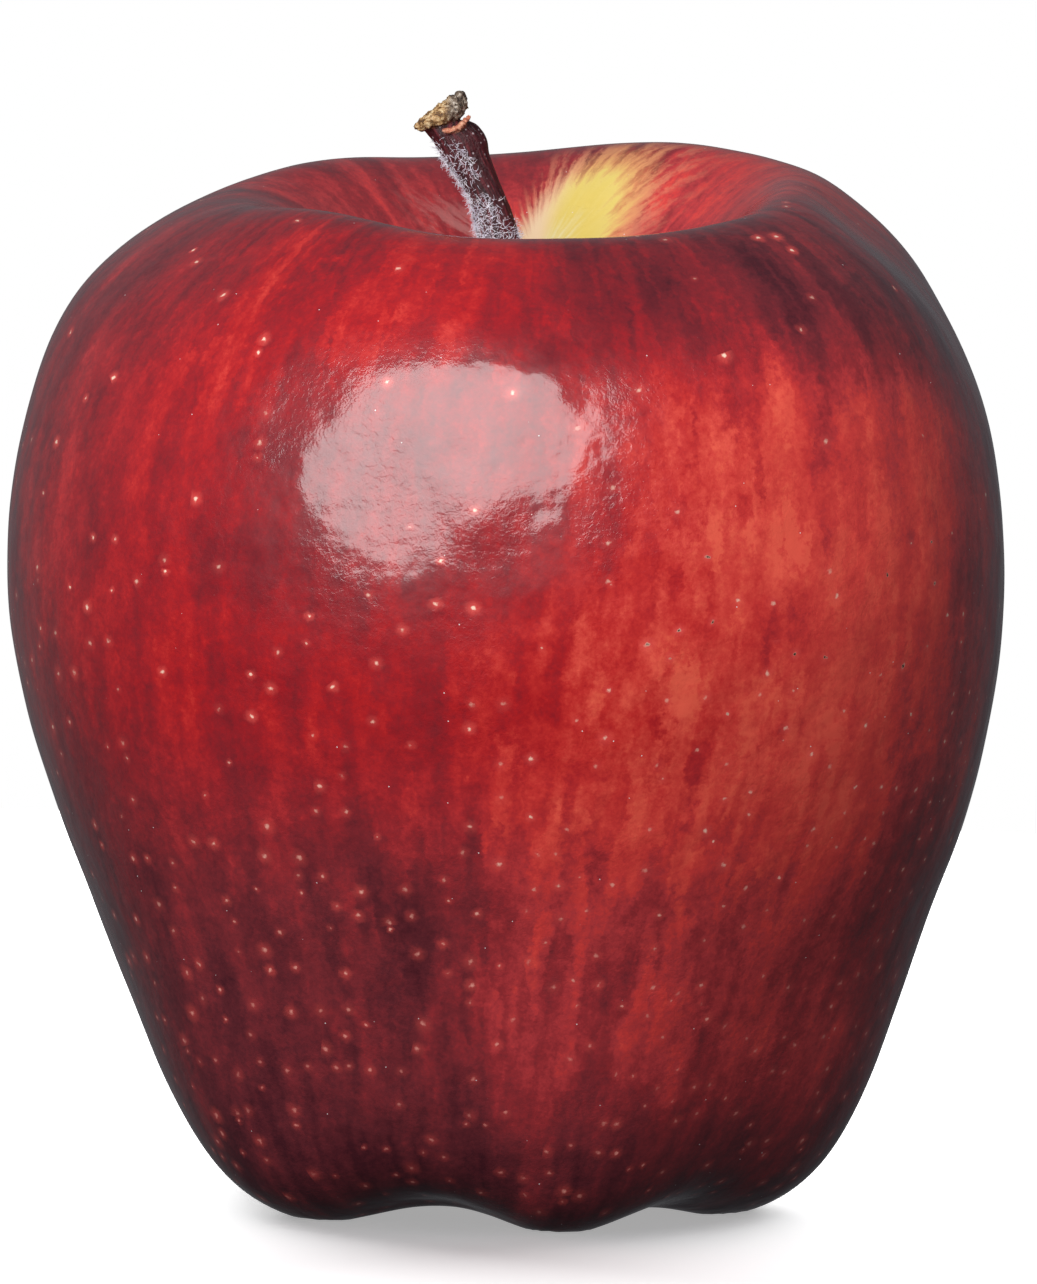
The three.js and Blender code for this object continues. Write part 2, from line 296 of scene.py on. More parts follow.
# %% Skin tree: how strongly the five lobes show at each azimuth
strength = {}
for kind in ("foot", "side", "crown"):
    for number in range(1, len(LOBES) + 1):
        away = add(skin_tree, "ShaderNodeMath", {
            0: azimuth, 1: size[f"Lobe {number} azimuth"],
        }, operation="SUBTRACT")
        near = add(skin_tree, "ShaderNodeMath", {0: away}, operation="COSINE")
        below_one = add(skin_tree, "ShaderNodeMath", {0: near, 1: 1.0}, operation="SUBTRACT")
        tight = add(skin_tree, "ShaderNodeMath", {
            0: below_one, 1: size[f"{kind.capitalize()} tightness"],
        }, operation="MULTIPLY")
        hump = add(skin_tree, "ShaderNodeMath", {0: tight}, operation="EXPONENT")
        strength[kind] = add(skin_tree, "ShaderNodeMath", {
            0: hump, 1: size[f"Lobe {number} {kind}"], 2: strength.get(kind, 0.0),
        }, operation="MULTIPLY_ADD")

# %% Skin tree: the radius and height of each point
swelling = add(skin_tree, "ShaderNodeMath", {
    0: strength["side"], 1: size["Mean swell"],
}, operation="SUBTRACT")
radius = add(skin_tree, "ShaderNodeMath", {
    0: ring["swell"], 1: swelling, 2: ring["radius"],
}, operation="MULTIPLY_ADD")
lifted = add(skin_tree, "ShaderNodeMath", {
    0: ring["rise"], 1: strength["crown"], 2: ring["height"],
}, operation="MULTIPLY_ADD")
dropped = add(skin_tree, "ShaderNodeMath", {0: ring["drop"], 1: strength["foot"]}, operation="MULTIPLY")
height = add(skin_tree, "ShaderNodeMath", {0: lifted, 1: dropped}, operation="SUBTRACT")

up_the_lean = add(skin_tree, "ShaderNodeMath", {0: height, 1: size["Lean height"]}, operation="DIVIDE")
to_crown = add(skin_tree, "ShaderNodeMath", {0: 1.0, 1: up_the_lean}, operation="SUBTRACT")
lean = add(skin_tree, "ShaderNodeMath", {0: to_crown, 1: size["Base lean"]}, operation="MULTIPLY")
twice = add(skin_tree, "ShaderNodeMath", {0: azimuth, 1: 2.0}, operation="MULTIPLY")
oval_wave = add(skin_tree, "ShaderNodeMath", {0: twice}, operation="COSINE")
narrowing = add(skin_tree, "ShaderNodeMath", {0: oval_wave, 1: size["Oval"]}, operation="MULTIPLY")
oval = add(skin_tree, "ShaderNodeMath", {0: 1.0, 1: narrowing}, operation="SUBTRACT")

crownward = add(skin_tree, "ShaderNodeMapRange", {
    "Value": height, "From Min": size["Tilt from"], "From Max": size["Tilt to"],
}, interpolation_type="SMOOTHSTEP")
from_tilt = add(skin_tree, "ShaderNodeMath", {0: azimuth, 1: size["Tilt azimuth"]}, operation="SUBTRACT")
tilt_side = add(skin_tree, "ShaderNodeMath", {0: from_tilt}, operation="COSINE")
tilt_rate = add(skin_tree, "ShaderNodeMath", {
    0: size["Tilt rise"], 1: size["Tilt radius"],
}, operation="DIVIDE")
tilt_reach = add(skin_tree, "ShaderNodeMath", {0: radius, 1: tilt_rate}, operation="MULTIPLY")
tilt_there = add(skin_tree, "ShaderNodeMath", {0: tilt_reach, 1: tilt_side}, operation="MULTIPLY")
tilt = add(skin_tree, "ShaderNodeMath", {0: tilt_there, 1: crownward}, operation="MULTIPLY")

# %% Skin tree: the points in place, in metres
sideways = add(skin_tree, "ShaderNodeMath", {0: radius, 1: sine}, operation="MULTIPLY")
core_there = add(skin_tree, "ShaderNodeMath", {0: lean, 1: size["Core X"]}, operation="ADD")
place_x = add(skin_tree, "ShaderNodeMath", {0: sideways, 1: oval, 2: core_there}, operation="MULTIPLY_ADD")
frontward = add(skin_tree, "ShaderNodeMath", {0: radius, 1: cosine}, operation="MULTIPLY")
oval_front = add(skin_tree, "ShaderNodeMath", {0: frontward, 1: oval}, operation="MULTIPLY")
place_y = add(skin_tree, "ShaderNodeMath", {0: oval_front, 1: -1.0}, operation="MULTIPLY")
tilted = add(skin_tree, "ShaderNodeMath", {0: height, 1: tilt}, operation="ADD")
place_z = add(skin_tree, "ShaderNodeMath", {0: tilted, 1: size["Feet cut"]}, operation="SUBTRACT")
place = add(skin_tree, "ShaderNodeCombineXYZ", {"X": place_x, "Y": place_y, "Z": place_z})
in_metres = add(skin_tree, "ShaderNodeVectorMath", {0: place, "Scale": MM}, operation="SCALE")
turned = add(skin_tree, "GeometryNodeSetPosition", {"Geometry": grid, "Position": in_metres})

# %% [markdown]
# The skin's pattern follows the fruit's growth, from stem to eye. So each point also keeps its place
# in that growth as the value "grain": the direction round the core, and how far down the profile it
# lies. Streaks drawn on it run lengthwise, meet in the cavity and join up all round.
#
# A real apple isn't quite smooth either. Low waves, a tenth of a millimetre high and about as wide as
# a fingertip, are what breaks up the light on it. The feet are pressed flat where it stands.

# %% Skin tree: growth direction, low waves and flat feet
GRAIN_RADIUS = 30.0
grain_x = add(skin_tree, "ShaderNodeMath", {0: sine, 1: GRAIN_RADIUS}, operation="MULTIPLY")
grain_y = add(skin_tree, "ShaderNodeMath", {0: cosine, 1: -GRAIN_RADIUS}, operation="MULTIPLY")
grain_field = add(skin_tree, "ShaderNodeCombineXYZ", {"X": grain_x, "Y": grain_y, "Z": ring["down"]})
marked = add(skin_tree, "GeometryNodeStoreNamedAttribute", {
    "Geometry": turned, "Name": "grain", "Value": grain_field,
}, data_type="FLOAT_VECTOR", domain="POINT")
closed = add(skin_tree, "GeometryNodeMergeByDistance", {"Geometry": marked, "Distance": 0.002 * MM})

wave_place = add(skin_tree, "ShaderNodeVectorMath", {
    0: add(skin_tree, "GeometryNodeInputPosition"), "Scale": MM_PER_M,
}, operation="SCALE")
wave_rate = add(skin_tree, "ShaderNodeMath", {0: 1.0, 1: size["Wave length"]}, operation="DIVIDE")
waves = add(skin_tree, "ShaderNodeTexNoise", {"Vector": wave_place, "Scale": wave_rate, "Detail": 1.0})
centred = add(skin_tree, "ShaderNodeMath", {0: waves, 1: 0.5}, operation="SUBTRACT")
wave_size = add(skin_tree, "ShaderNodeMath", {0: size["Wave height"], 1: 4 * MM}, operation="MULTIPLY")
lift = add(skin_tree, "ShaderNodeMath", {0: centred, 1: wave_size}, operation="MULTIPLY")
push = add(skin_tree, "ShaderNodeVectorMath", {
    0: add(skin_tree, "GeometryNodeInputNormal"), "Scale": lift,
}, operation="SCALE")
waved = add(skin_tree, "GeometryNodeSetPosition", {"Geometry": closed, "Offset": push})
above_floor = add(skin_tree, "ShaderNodeVectorMath", {
    0: add(skin_tree, "GeometryNodeInputPosition"), 1: (-1.0, -1.0, 0.0),
}, operation="MAXIMUM")
pressed = add(skin_tree, "GeometryNodeSetPosition", {"Geometry": waved, "Position": above_floor})
outward = add(skin_tree, "GeometryNodeFlipFaces", {"Mesh": pressed})
smooth = add(skin_tree, "GeometryNodeSetShadeSmooth", {"Geometry": outward})
close_tree(skin_tree, smooth, size["Skin"])
print(len(skin_tree.nodes), "nodes in the skin's tree")

# %% Grow the skin
skin = grow("apple_skin", profile_seed, skin_tree, SKIN_SIZES)
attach(skin, "root")
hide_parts("fruit")

# %% [markdown]
# ## The skin's finish
#
# Apple skin is a thin layer of cells under wax. The red pigment lies in the outer cells, in lengthwise
# streaks over a paler ground, so its tone changes from maroon to orange red with the sun that each
# side had. Down in the cavity the sun never reached, and the ground shows yellow. Lenticels are the
# skin's breathing pores: cream dots, with a paler ring where the pigment thins out round them. They
# lie far apart at the crown and close together at the base, where the skin stretched least.
#
# The wax makes it look wet: a clear coat with sharp reflections over skin that itself has a broad
# sheen. Fine wrinkles in the wax tear the edges of every reflection. All of this is drawn by the
# shader from real sizes in millimetres. The tones by height and side are partly the sun that each
# side had and partly painted shade and painted light: the base, the lower left, the outer edges and
# the skin under the big highlight are painted darker, and the right cheek, which the key box lights
# least, is partly painted brighter. The streaks follow the stored growth direction.

# %% A finish starts with one shader
def start_finish(material, **look):
    """Gives a material an empty tree with one Principled shader, whose inputs look sets."""
    material.use_nodes = True
    tree = material.node_tree
    tree.nodes.clear()
    feeds = {label.replace("_", " "): value for label, value in look.items()}
    shader = add(tree, "ShaderNodeBsdfPrincipled", feeds)
    add(tree, "ShaderNodeOutputMaterial", {"Surface": shader})
    return tree, shader


# %% Skin finish: where a point lies
# Waxed cuticle over soft cells. To the eye: a sharp wet shine with a soft broad sheen under it.
skin_look, skin_shader = start_finish(
    SKIN, IOR=1.42, Coat_Weight=1.0, Coat_IOR=1.5, Coat_Roughness=0.06,
)
object_place = add(skin_look, "ShaderNodeTexCoord").outputs["Object"]
place_mm = add(skin_look, "ShaderNodeVectorMath", {0: object_place, "Scale": MM_PER_M}, operation="SCALE")
height_mm = add(skin_look, "ShaderNodeSeparateXYZ", {"Vector": place_mm}).outputs["Z"]
grain = add(skin_look, "ShaderNodeAttribute", attribute_name="grain").outputs["Vector"]
down_mm = add(skin_look, "ShaderNodeSeparateXYZ", {"Vector": grain}).outputs["Z"]


# %% Skin finish: patches of sun and shade, painted shade and painted light
def band(tree, value, low, high, soft):
    """1 where a value lies between low and high, fading to 0 within soft on either side."""
    rise = add(tree, "ShaderNodeMapRange", {
        "Value": value, "From Min": low - soft, "From Max": low + soft,
    }, interpolation_type="SMOOTHSTEP")
    fall = add(tree, "ShaderNodeMapRange", {
        "Value": value, "From Min": high - soft, "From Max": high + soft, "To Min": 1.0, "To Max": 0.0,
    }, interpolation_type="SMOOTHSTEP")
    return add(tree, "ShaderNodeMath", {0: rise, 1: fall}, operation="MULTIPLY")


def side_of(tree, azimuth, half_width):
    """1 on the side of the fruit at an azimuth, and 0 from about half_width degrees away."""
    towards = (
        math.sin(math.radians(azimuth)) / GRAIN_RADIUS, -math.cos(math.radians(azimuth)) / GRAIN_RADIUS, 0,
    )
    facing = add(
        tree, "ShaderNodeVectorMath", {0: grain, 1: towards}, operation="DOT_PRODUCT",
    ).outputs["Value"]
    return add(tree, "ShaderNodeMapRange", {
        "Value": facing, "From Min": math.cos(math.radians(half_width * 1.3)), "From Max": math.cos(
            math.radians(half_width * 0.4),
        ),
    }, interpolation_type="SMOOTHSTEP")


# Name, azimuth and half width in degrees, lowest and highest height in mm, softness in mm, and tone.
SUN_PATCHES = [
    # Partly ripe colour and partly painted light: the right cheek is brighter where the key box, on the left,
    # lights the fruit least.
    ("ripe right cheek and painted light", 43, 40, 31, 69, 7, 0.28),
    ("right cheek, lower, and painted light", 46, 46, 6, 31, 8, 0.17),
    # Painted shade: the skin darkens towards the outline on the right.
    ("painted shade, far right", 95, 38, 16, 78, 9, -0.20),
    ("bright upper left", 328, 40, 64, 77, 5, 0.08),
    # Painted shade: the skin is darker where the key box's big highlight lies, which makes the highlight
    # paler.
    ("painted shade under the highlight", 348, 31, 50, 70, 4, -0.19),
    ("shaded right shoulder", 38, 42, 70, 92, 6, -0.22),
    ("shaded left shoulder", 300, 44, 71, 90, 5, -0.12),
    # Painted shade: the lower left is darker.
    ("painted shade, lower left", 315, 46, 2, 36, 9, -0.12),
    # Painted shade: the lower half and the base are darker, as the light comes from above.
    ("painted shade, lower half", 0, 180, -20, 30, 9, -0.15),
    ("painted shade, base", 0, 180, -20, 10, 8, -0.24),
    ("dark crown", 0, 180, 81, 99, 3, -0.12),
    ("lower middle", 16, 34, 16, 38, 6, 0.06),
    ("dark back of the cavity", 166, 34, 76, 90, 3, -0.06),
    ("shaded back", 215, 60, 20, 70, 12, -0.10),
    # Painted shade: the skin darkens towards the outline on the left.
    ("painted shade, far left", 260, 38, 18, 80, 10, -0.12),
    ("red crown, far right", 102, 46, 79, 99, 4, 0.30),
    ("lighter far left of the cavity", 225, 50, 76, 92, 4, 0.07),
]
MIDDLE_TONE = 0.57
tone = MIDDLE_TONE
for name, azimuth, half_width, low, high, soft, change in SUN_PATCHES:
    inside = band(skin_look, height_mm, low, high, soft)
    if half_width < 180:
        inside = add(skin_look, "ShaderNodeMath", {
            0: inside, 1: side_of(skin_look, azimuth, half_width),
        }, operation="MULTIPLY")
    tone = add(skin_look, "ShaderNodeMath", {0: inside, 1: change, 2: tone}, operation="MULTIPLY_ADD")
print(len(SUN_PATCHES), "patches of sun and shade")

# %% Skin finish: soft lengthwise streaks and mottling
# A streak's edges are ragged, because whole cells are red or pale. So its place is jittered first.
jitter = add(skin_look, "ShaderNodeTexNoise", {
    "Vector": place_mm, "Scale": 1 / 1.1, "Detail": 5.0, "Roughness": 0.65,
})
jitter_way = add(skin_look, "ShaderNodeVectorMath", {
    0: jitter.outputs["Color"], 1: (0.5, 0.5, 0.5),
}, operation="SUBTRACT")
ragged = add(skin_look, "ShaderNodeVectorMath", {
    0: jitter_way, 1: (1.5, 1.5, 6.0), 2: grain,
}, operation="MULTIPLY_ADD")


def swayed(tree, value, noise, change):
    """Moves a tone up or down by a noise, which swings it by about a third of change either way."""
    swing = add(tree, "ShaderNodeMath", {0: noise, 1: 0.5}, operation="SUBTRACT")
    return add(tree, "ShaderNodeMath", {0: swing, 1: change * 2, 2: value}, operation="MULTIPLY_ADD")


def streaks_of(tree, width, length_mm, seed):
    """Noise drawn out along the growth direction. A streak has a width and a length in mm."""
    stretched = add(tree, "ShaderNodeVectorMath", {
        0: ragged, 1: (1 / width, 1 / width, 1 / length_mm),
    }, operation="MULTIPLY")
    return add(tree, "ShaderNodeTexNoise", {
        "Vector": stretched, "W": seed, "Scale": 1.0, "Detail": 2.0, "Roughness": 0.55,
    }, noise_dimensions="4D")


# Width and length of a streak in mm, how much it changes the tone, and a seed.
for width, length_mm, change, seed in (
    (6.0, 36.0, 0.24, 3.0), (2.6, 14.0, 0.28, 11.0), (1.2, 6.0, 0.19, 27.0),
):
    tone = swayed(skin_look, tone, streaks_of(skin_look, width, length_mm, seed), change)
# Size of a cloud of colour in mm, and how much it changes the tone.
for size_mm, change in ((5.0, 0.18), (1.2, 0.14), (0.35, 0.14)):
    cloud = add(skin_look, "ShaderNodeTexNoise", {
        "Vector": place_mm, "Scale": 1 / size_mm, "Detail": 3.0, "Roughness": 0.65,
    })
    tone = swayed(skin_look, tone, cloud, change)

# %% Skin finish: distinct streaks with torn edges
# Name, azimuth and half width, lowest and highest height, softness, width and length of a streak,
# how rare the streaks are, their tone, and a seed.
TORN_STREAKS = [
    ("maroon, right shoulder", 40, 46, 68, 99, 5, 2.0, 16, 0.48, -0.12, 5.0),
    ("maroon, left shoulder", 312, 34, 68, 90, 6, 2.0, 12, 0.52, -0.09, 8.0),
    ("salmon, upper left", 334, 36, 65, 80, 4, 2.0, 8, 0.55, 0.11, 13.0),
    ("coral, right cheek", 40, 34, 38, 70, 7, 2.2, 12, 0.53, 0.10, 21.0),
    ("deep red, right cheek", 46, 38, 26, 72, 7, 2.6, 13, 0.53, -0.10, 67.0),
    ("maroon, lower left", 322, 50, 12, 52, 9, 2.6, 11, 0.52, -0.06, 34.0),
    ("maroon, lower middle", 10, 36, 8, 40, 7, 2.4, 9, 0.51, -0.06, 41.0),
    ("salmon, lower middle", 14, 40, 14, 40, 7, 2.6, 9, 0.53, 0.11, 52.0),
]
for name, azimuth, half_width, low, high, soft, width, length_mm, rarity, change, seed in TORN_STREAKS:
    torn = add(skin_look, "ShaderNodeMapRange", {
        "Value": streaks_of(skin_look, width, length_mm, seed), "From Min": rarity, "From Max": rarity + 0.06,
    }, interpolation_type="SMOOTHSTEP")
    where = add(skin_look, "ShaderNodeMath", {
        0: band(skin_look, height_mm, low, high, soft), 1: side_of(skin_look, azimuth, half_width),
    }, operation="MULTIPLY")
    here = add(skin_look, "ShaderNodeMath", {0: torn, 1: where}, operation="MULTIPLY")
    tone = add(skin_look, "ShaderNodeMath", {0: here, 1: change, 2: tone}, operation="MULTIPLY_ADD")
print(len(TORN_STREAKS), "kinds of torn streaks")

# %% Skin finish: from tone to colour
# The upper front, round azimuth 346 degrees and from 34 to 84 mm up, is a clearer red than the rest.
clear_reds = set_ramp(add(skin_look, "ShaderNodeValToRGB", {"Fac": tone}), [
    (0.0, "#4a141e"), (0.2, "#6c1a24"), (0.38, "#861b24"), (0.52, "#9e1922"), (0.64, "#b41b20"),
    (0.76, "#c82b28"), (0.88, "#d84238"), (1.0, "#e85c46"),
])
dull_reds = set_ramp(add(skin_look, "ShaderNodeValToRGB", {"Fac": tone}), [
    (0.0, "#4a1822"), (0.2, "#66242c"), (0.38, "#842b32"), (0.52, "#a02f35"), (0.64, "#bc3a3e"),
    (0.78, "#d83f3d"), (0.94, "#ec4c43"), (1.0, "#f4584a"),
])
upper_front_band = add(skin_look, "ShaderNodeMath", {
    0: band(skin_look, height_mm, 34, 84, 9), 1: side_of(skin_look, 346, 52),
}, operation="MULTIPLY")
all_reds = add(skin_look, "ShaderNodeMix", {
    "Factor": upper_front_band, "A": dull_reds, "B": clear_reds,
}, data_type="RGBA")
# Where the skin is lightest less pigment formed, and the pale ground shines through in torn strokes.
thin = add(skin_look, "ShaderNodeMapRange", {
    "Value": streaks_of(skin_look, 2.4, 7.0, 63.0), "From Min": 0.50, "From Max": 0.62,
}, interpolation_type="SMOOTHSTEP")
light_skin = add(skin_look, "ShaderNodeMapRange", {
    "Value": tone, "From Min": 0.66, "From Max": 0.92, "To Min": 0.0, "To Max": 0.36,
})
thin_here = add(skin_look, "ShaderNodeMath", {0: thin, 1: light_skin}, operation="MULTIPLY")
reds = add(skin_look, "ShaderNodeMix", {
    "Factor": thin_here, "A": all_reds, "B": from_hex("#f4624e"),
}, data_type="RGBA")

# %% Skin finish: the unripe ground in the cavity
# The sun never reached the wall behind the stem. The ground shows there as a yellow patch whose
# edge frays into streaks. They fan out from a point on the wall, as the skin grew.
FAN = Vector((2.0, 10.5, 0.0))
split_place = add(skin_look, "ShaderNodeSeparateXYZ", {"Vector": place_mm})
flat_place = add(skin_look, "ShaderNodeCombineXYZ", {
    "X": split_place.outputs["X"], "Y": split_place.outputs["Y"],
})
from_fan = add(skin_look, "ShaderNodeVectorMath", {0: flat_place, 1: tuple(FAN)}, operation="SUBTRACT")
fan_reach = add(skin_look, "ShaderNodeVectorMath", {0: from_fan}, operation="LENGTH").outputs["Value"]
fan_way = add(skin_look, "ShaderNodeVectorMath", {0: from_fan}, operation="NORMALIZE")
fan_rays = add(skin_look, "ShaderNodeVectorMath", {0: fan_way, "Scale": 11.0}, operation="SCALE")
fan_drift = add(skin_look, "ShaderNodeVectorMath", {
    0: jitter_way, 1: (0.8, 0.8, 0.8), 2: fan_rays,
}, operation="MULTIPLY_ADD")
fan_along = add(skin_look, "ShaderNodeMath", {0: fan_reach, 1: 0.22}, operation="MULTIPLY")
fray = add(skin_look, "ShaderNodeTexNoise", {
    "Vector": fan_drift, "W": fan_along, "Scale": 1.0, "Detail": 4.0, "Roughness": 0.6,
}, noise_dimensions="4D")
in_cavity = add(skin_look, "ShaderNodeMapRange", {
    "Value": down_mm, "From Min": 30.0, "From Max": 36.0, "To Min": 1.0, "To Max": 0.0,
}, interpolation_type="SMOOTHSTEP")


def fan_of(tree, direction, least, most, narrow):
    """How far out a point lies in a fan, as a share of its reach in mm, which is most along direction."""
    along = (math.cos(math.radians(direction)), math.sin(math.radians(direction)), 0)
    facing = add(
        tree, "ShaderNodeVectorMath", {0: fan_way, 1: along}, operation="DOT_PRODUCT",
    ).outputs["Value"]
    ahead = add(tree, "ShaderNodeMath", {0: facing, 1: 0.0}, operation="MAXIMUM")
    pointed = add(tree, "ShaderNodeMath", {0: ahead, 1: narrow}, operation="POWER")
    full = add(tree, "ShaderNodeMath", {0: pointed, 1: most - least, 2: least}, operation="MULTIPLY_ADD")
    share = add(tree, "ShaderNodeMath", {0: fan_reach, 1: full}, operation="DIVIDE")
    return add(tree, "ShaderNodeMath", {
        0: fray, 1: -0.8, 2: add(tree, "ShaderNodeMath", {0: share, 1: 0.4}, operation="ADD"),
    }, operation="MULTIPLY_ADD")


def inside_of(tree, share, full, end):
    """1 where a share is below full, fading to 0 at end, and only in the cavity."""
    fade = add(tree, "ShaderNodeMapRange", {
        "Value": share, "From Min": full, "From Max": end, "To Min": 1.0, "To Max": 0.0,
    }, interpolation_type="SMOOTHSTEP")
    return add(tree, "ShaderNodeMath", {0: fade, 1: in_cavity}, operation="MULTIPLY")


patch_share = fan_of(skin_look, 34, 3.0, 9.6, 3.4)
fringe_share = fan_of(skin_look, 32, 4.0, 17.0, 2.0)
left_share = fan_of(skin_look, 168, 1.0, 13.0, 9.0)
between = add(skin_look, "ShaderNodeMapRange", {
    "Value": fray, "From Min": 0.40, "From Max": 0.56,
}, interpolation_type="SMOOTHSTEP")
fringe = add(skin_look, "ShaderNodeMath", {
    0: inside_of(skin_look, fringe_share, 0.4, 1.1), 1: between,
}, operation="MULTIPLY")
faint_fringe = add(skin_look, "ShaderNodeMath", {0: fringe, 1: 0.8}, operation="MULTIPLY")
left_streaks = add(skin_look, "ShaderNodeMath", {
    0: inside_of(skin_look, left_share, 0.35, 1.0), 1: between,
}, operation="MULTIPLY")
faint_left = add(skin_look, "ShaderNodeMath", {0: left_streaks, 1: 0.7}, operation="MULTIPLY")
fringed = add(skin_look, "ShaderNodeMix", {
    "Factor": faint_fringe, "A": reds, "B": from_hex("#e2866a"),
}, data_type="RGBA")
flushed = add(skin_look, "ShaderNodeMix", {
    "Factor": faint_left, "A": fringed, "B": from_hex("#cf8480"),
}, data_type="RGBA")
ground = set_ramp(add(skin_look, "ShaderNodeValToRGB", {"Fac": patch_share}), [
    (0.1, "#eedea6"), (0.45, "#ead06a"), (0.7, "#ecd476"), (0.95, "#ecae6e"),
])
# Next to the stem the patch is a paler, pinkish cream.
stemward = add(skin_look, "ShaderNodeVectorMath", {
    0: fan_way, 1: (-0.45, 0.89, 0),
}, operation="DOT_PRODUCT").outputs["Value"]
creaminess = add(skin_look, "ShaderNodeMapRange", {
    "Value": stemward, "From Min": 0.45, "From Max": 0.95,
}, interpolation_type="SMOOTHSTEP")
creamy = add(skin_look, "ShaderNodeMix", {
    "Factor": creaminess, "A": ground, "B": from_hex("#f4d4ac"),
}, data_type="RGBA")
skin_colour = add(skin_look, "ShaderNodeMix", {
    "Factor": inside_of(skin_look, patch_share, 0.62, 1.35), "A": flushed, "B": creamy,
}, data_type="RGBA")

# %% Skin finish: lenticels
# The dots are laid out on the unrolled skin: round the core along u, measured where the fruit is
# widest, and down the profile along v. A cell of the pattern holds one dot at most. Distances are
# shortened again where the fruit is narrower, which keeps every dot round.
WIDEST = 38.0
PORE_CELL = 2.7
split_grain = add(skin_look, "ShaderNodeSeparateXYZ", {"Vector": grain})
backward = add(skin_look, "ShaderNodeMath", {0: split_grain.outputs["Y"], 1: -1.0}, operation="MULTIPLY")
angle = add(skin_look, "ShaderNodeMath", {0: split_grain.outputs["X"], 1: backward}, operation="ARCTAN2")
across_cells = add(skin_look, "ShaderNodeMath", {0: angle, 1: WIDEST / PORE_CELL}, operation="MULTIPLY")
down_cells = add(skin_look, "ShaderNodeMath", {0: down_mm, 1: 1 / PORE_CELL}, operation="MULTIPLY")
# Another stretch of the endless pattern, in cells of it.
PORE_SHIFT = 61.3
across_from = add(skin_look, "ShaderNodeMath", {0: across_cells, 1: PORE_SHIFT}, operation="ADD")
unrolled = add(skin_look, "ShaderNodeCombineXYZ", {"X": across_from, "Y": down_cells})
cells = add(skin_look, "ShaderNodeTexVoronoi", {"Vector": unrolled, "Scale": 1.0}, voronoi_dimensions="2D")
radius_mm = add(skin_look, "ShaderNodeVectorMath", {0: flat_place}, operation="LENGTH").outputs["Value"]
narrower = add(skin_look, "ShaderNodeMath", {0: radius_mm, 1: 1 / WIDEST}, operation="MULTIPLY")
from_dot = add(skin_look, "ShaderNodeVectorMath", {
    0: cells.outputs["Position"], 1: unrolled,
}, operation="SUBTRACT")
true_scale = add(skin_look, "ShaderNodeCombineXYZ", {"X": narrower, "Y": 1.0})
true_way = add(skin_look, "ShaderNodeVectorMath", {0: from_dot, 1: true_scale}, operation="MULTIPLY")
cells_away = add(skin_look, "ShaderNodeVectorMath", {0: true_way}, operation="LENGTH").outputs["Value"]
round_away = add(skin_look, "ShaderNodeMath", {0: cells_away, 1: PORE_CELL}, operation="MULTIPLY")
pore_edge = add(skin_look, "ShaderNodeTexNoise", {"Vector": place_mm, "Scale": 1 / 0.3, "Detail": 1.0})
away = swayed(skin_look, round_away, pore_edge, 0.22)
chance = add(skin_look, "ShaderNodeSeparateColor", {"Color": cells.outputs["Color"]})
share_high = add(skin_look, "ShaderNodeMapRange", {
    "Value": height_mm, "From Min": 12.0, "From Max": 62.0, "To Min": 0.95, "To Max": 0.13,
})
share = add(skin_look, "ShaderNodeMath", {0: share_high, 1: narrower}, operation="MULTIPLY")
chosen = add(skin_look, "ShaderNodeMath", {0: chance.outputs["Red"], 1: share}, operation="LESS_THAN")
clear_of_cavity = add(skin_look, "ShaderNodeMapRange", {"Value": down_mm, "From Min": 26.0, "From Max": 29.0})
shown = add(skin_look, "ShaderNodeMath", {0: chosen, 1: clear_of_cavity}, operation="MULTIPLY")


def dot_of(tree, smallest, largest):
    """A soft round spot at each chosen dot. Each one has its own radius between two sizes in mm."""
    own_radius = add(tree, "ShaderNodeMapRange", {
        "Value": chance.outputs["Green"], "To Min": smallest, "To Max": largest,
    })
    spot = add(tree, "ShaderNodeMapRange", {
        "Value": away, "From Min": 0.0, "From Max": own_radius, "To Min": 1.0, "To Max": 0.0,
    }, interpolation_type="SMOOTHSTEP")
    return add(tree, "ShaderNodeMath", {0: spot, 1: shown}, operation="MULTIPLY")


halo = dot_of(skin_look, 0.45, 1.05)
core = dot_of(skin_look, 0.14, 0.28)
# Most pores are faint. Low on the fruit they are pink under the skin, and higher up they are cream.
uneven_strength = add(skin_look, "ShaderNodeMath", {0: chance.outputs["Blue"], 1: 1.6}, operation="POWER")
lowness = add(skin_look, "ShaderNodeMapRange", {"Value": height_mm, "From Min": 14.0, "From Max": 52.0})
most_strength = add(skin_look, "ShaderNodeMapRange", {"Value": lowness, "To Min": 0.52, "To Max": 1.0})
own_strength = add(skin_look, "ShaderNodeMapRange", {
    "Value": uneven_strength, "To Min": 0.25, "To Max": most_strength,
})
halo_strength = add(skin_look, "ShaderNodeMath", {0: own_strength, 1: 0.85}, operation="MULTIPLY")
faint_halo = add(skin_look, "ShaderNodeMath", {0: halo, 1: halo_strength}, operation="MULTIPLY")
ringed = add(skin_look, "ShaderNodeMix", {
    "Factor": faint_halo, "A": skin_colour, "B": from_hex("#e8564f"),
}, data_type="RGBA")
core_bright = add(skin_look, "ShaderNodeMath", {0: core, 1: own_strength}, operation="MULTIPLY")
core_sharp = add(skin_look, "ShaderNodeMath", {0: core_bright, 1: 1.55}, operation="MULTIPLY", use_clamp=True)
core_colour = add(skin_look, "ShaderNodeMix", {
    "Factor": lowness, "A": from_hex("#f8a296"), "B": from_hex("#ffdcc4"),
}, data_type="RGBA")
pored = add(skin_look, "ShaderNodeMix", {
    "Factor": core_sharp, "A": ringed, "B": core_colour,
}, data_type="RGBA")
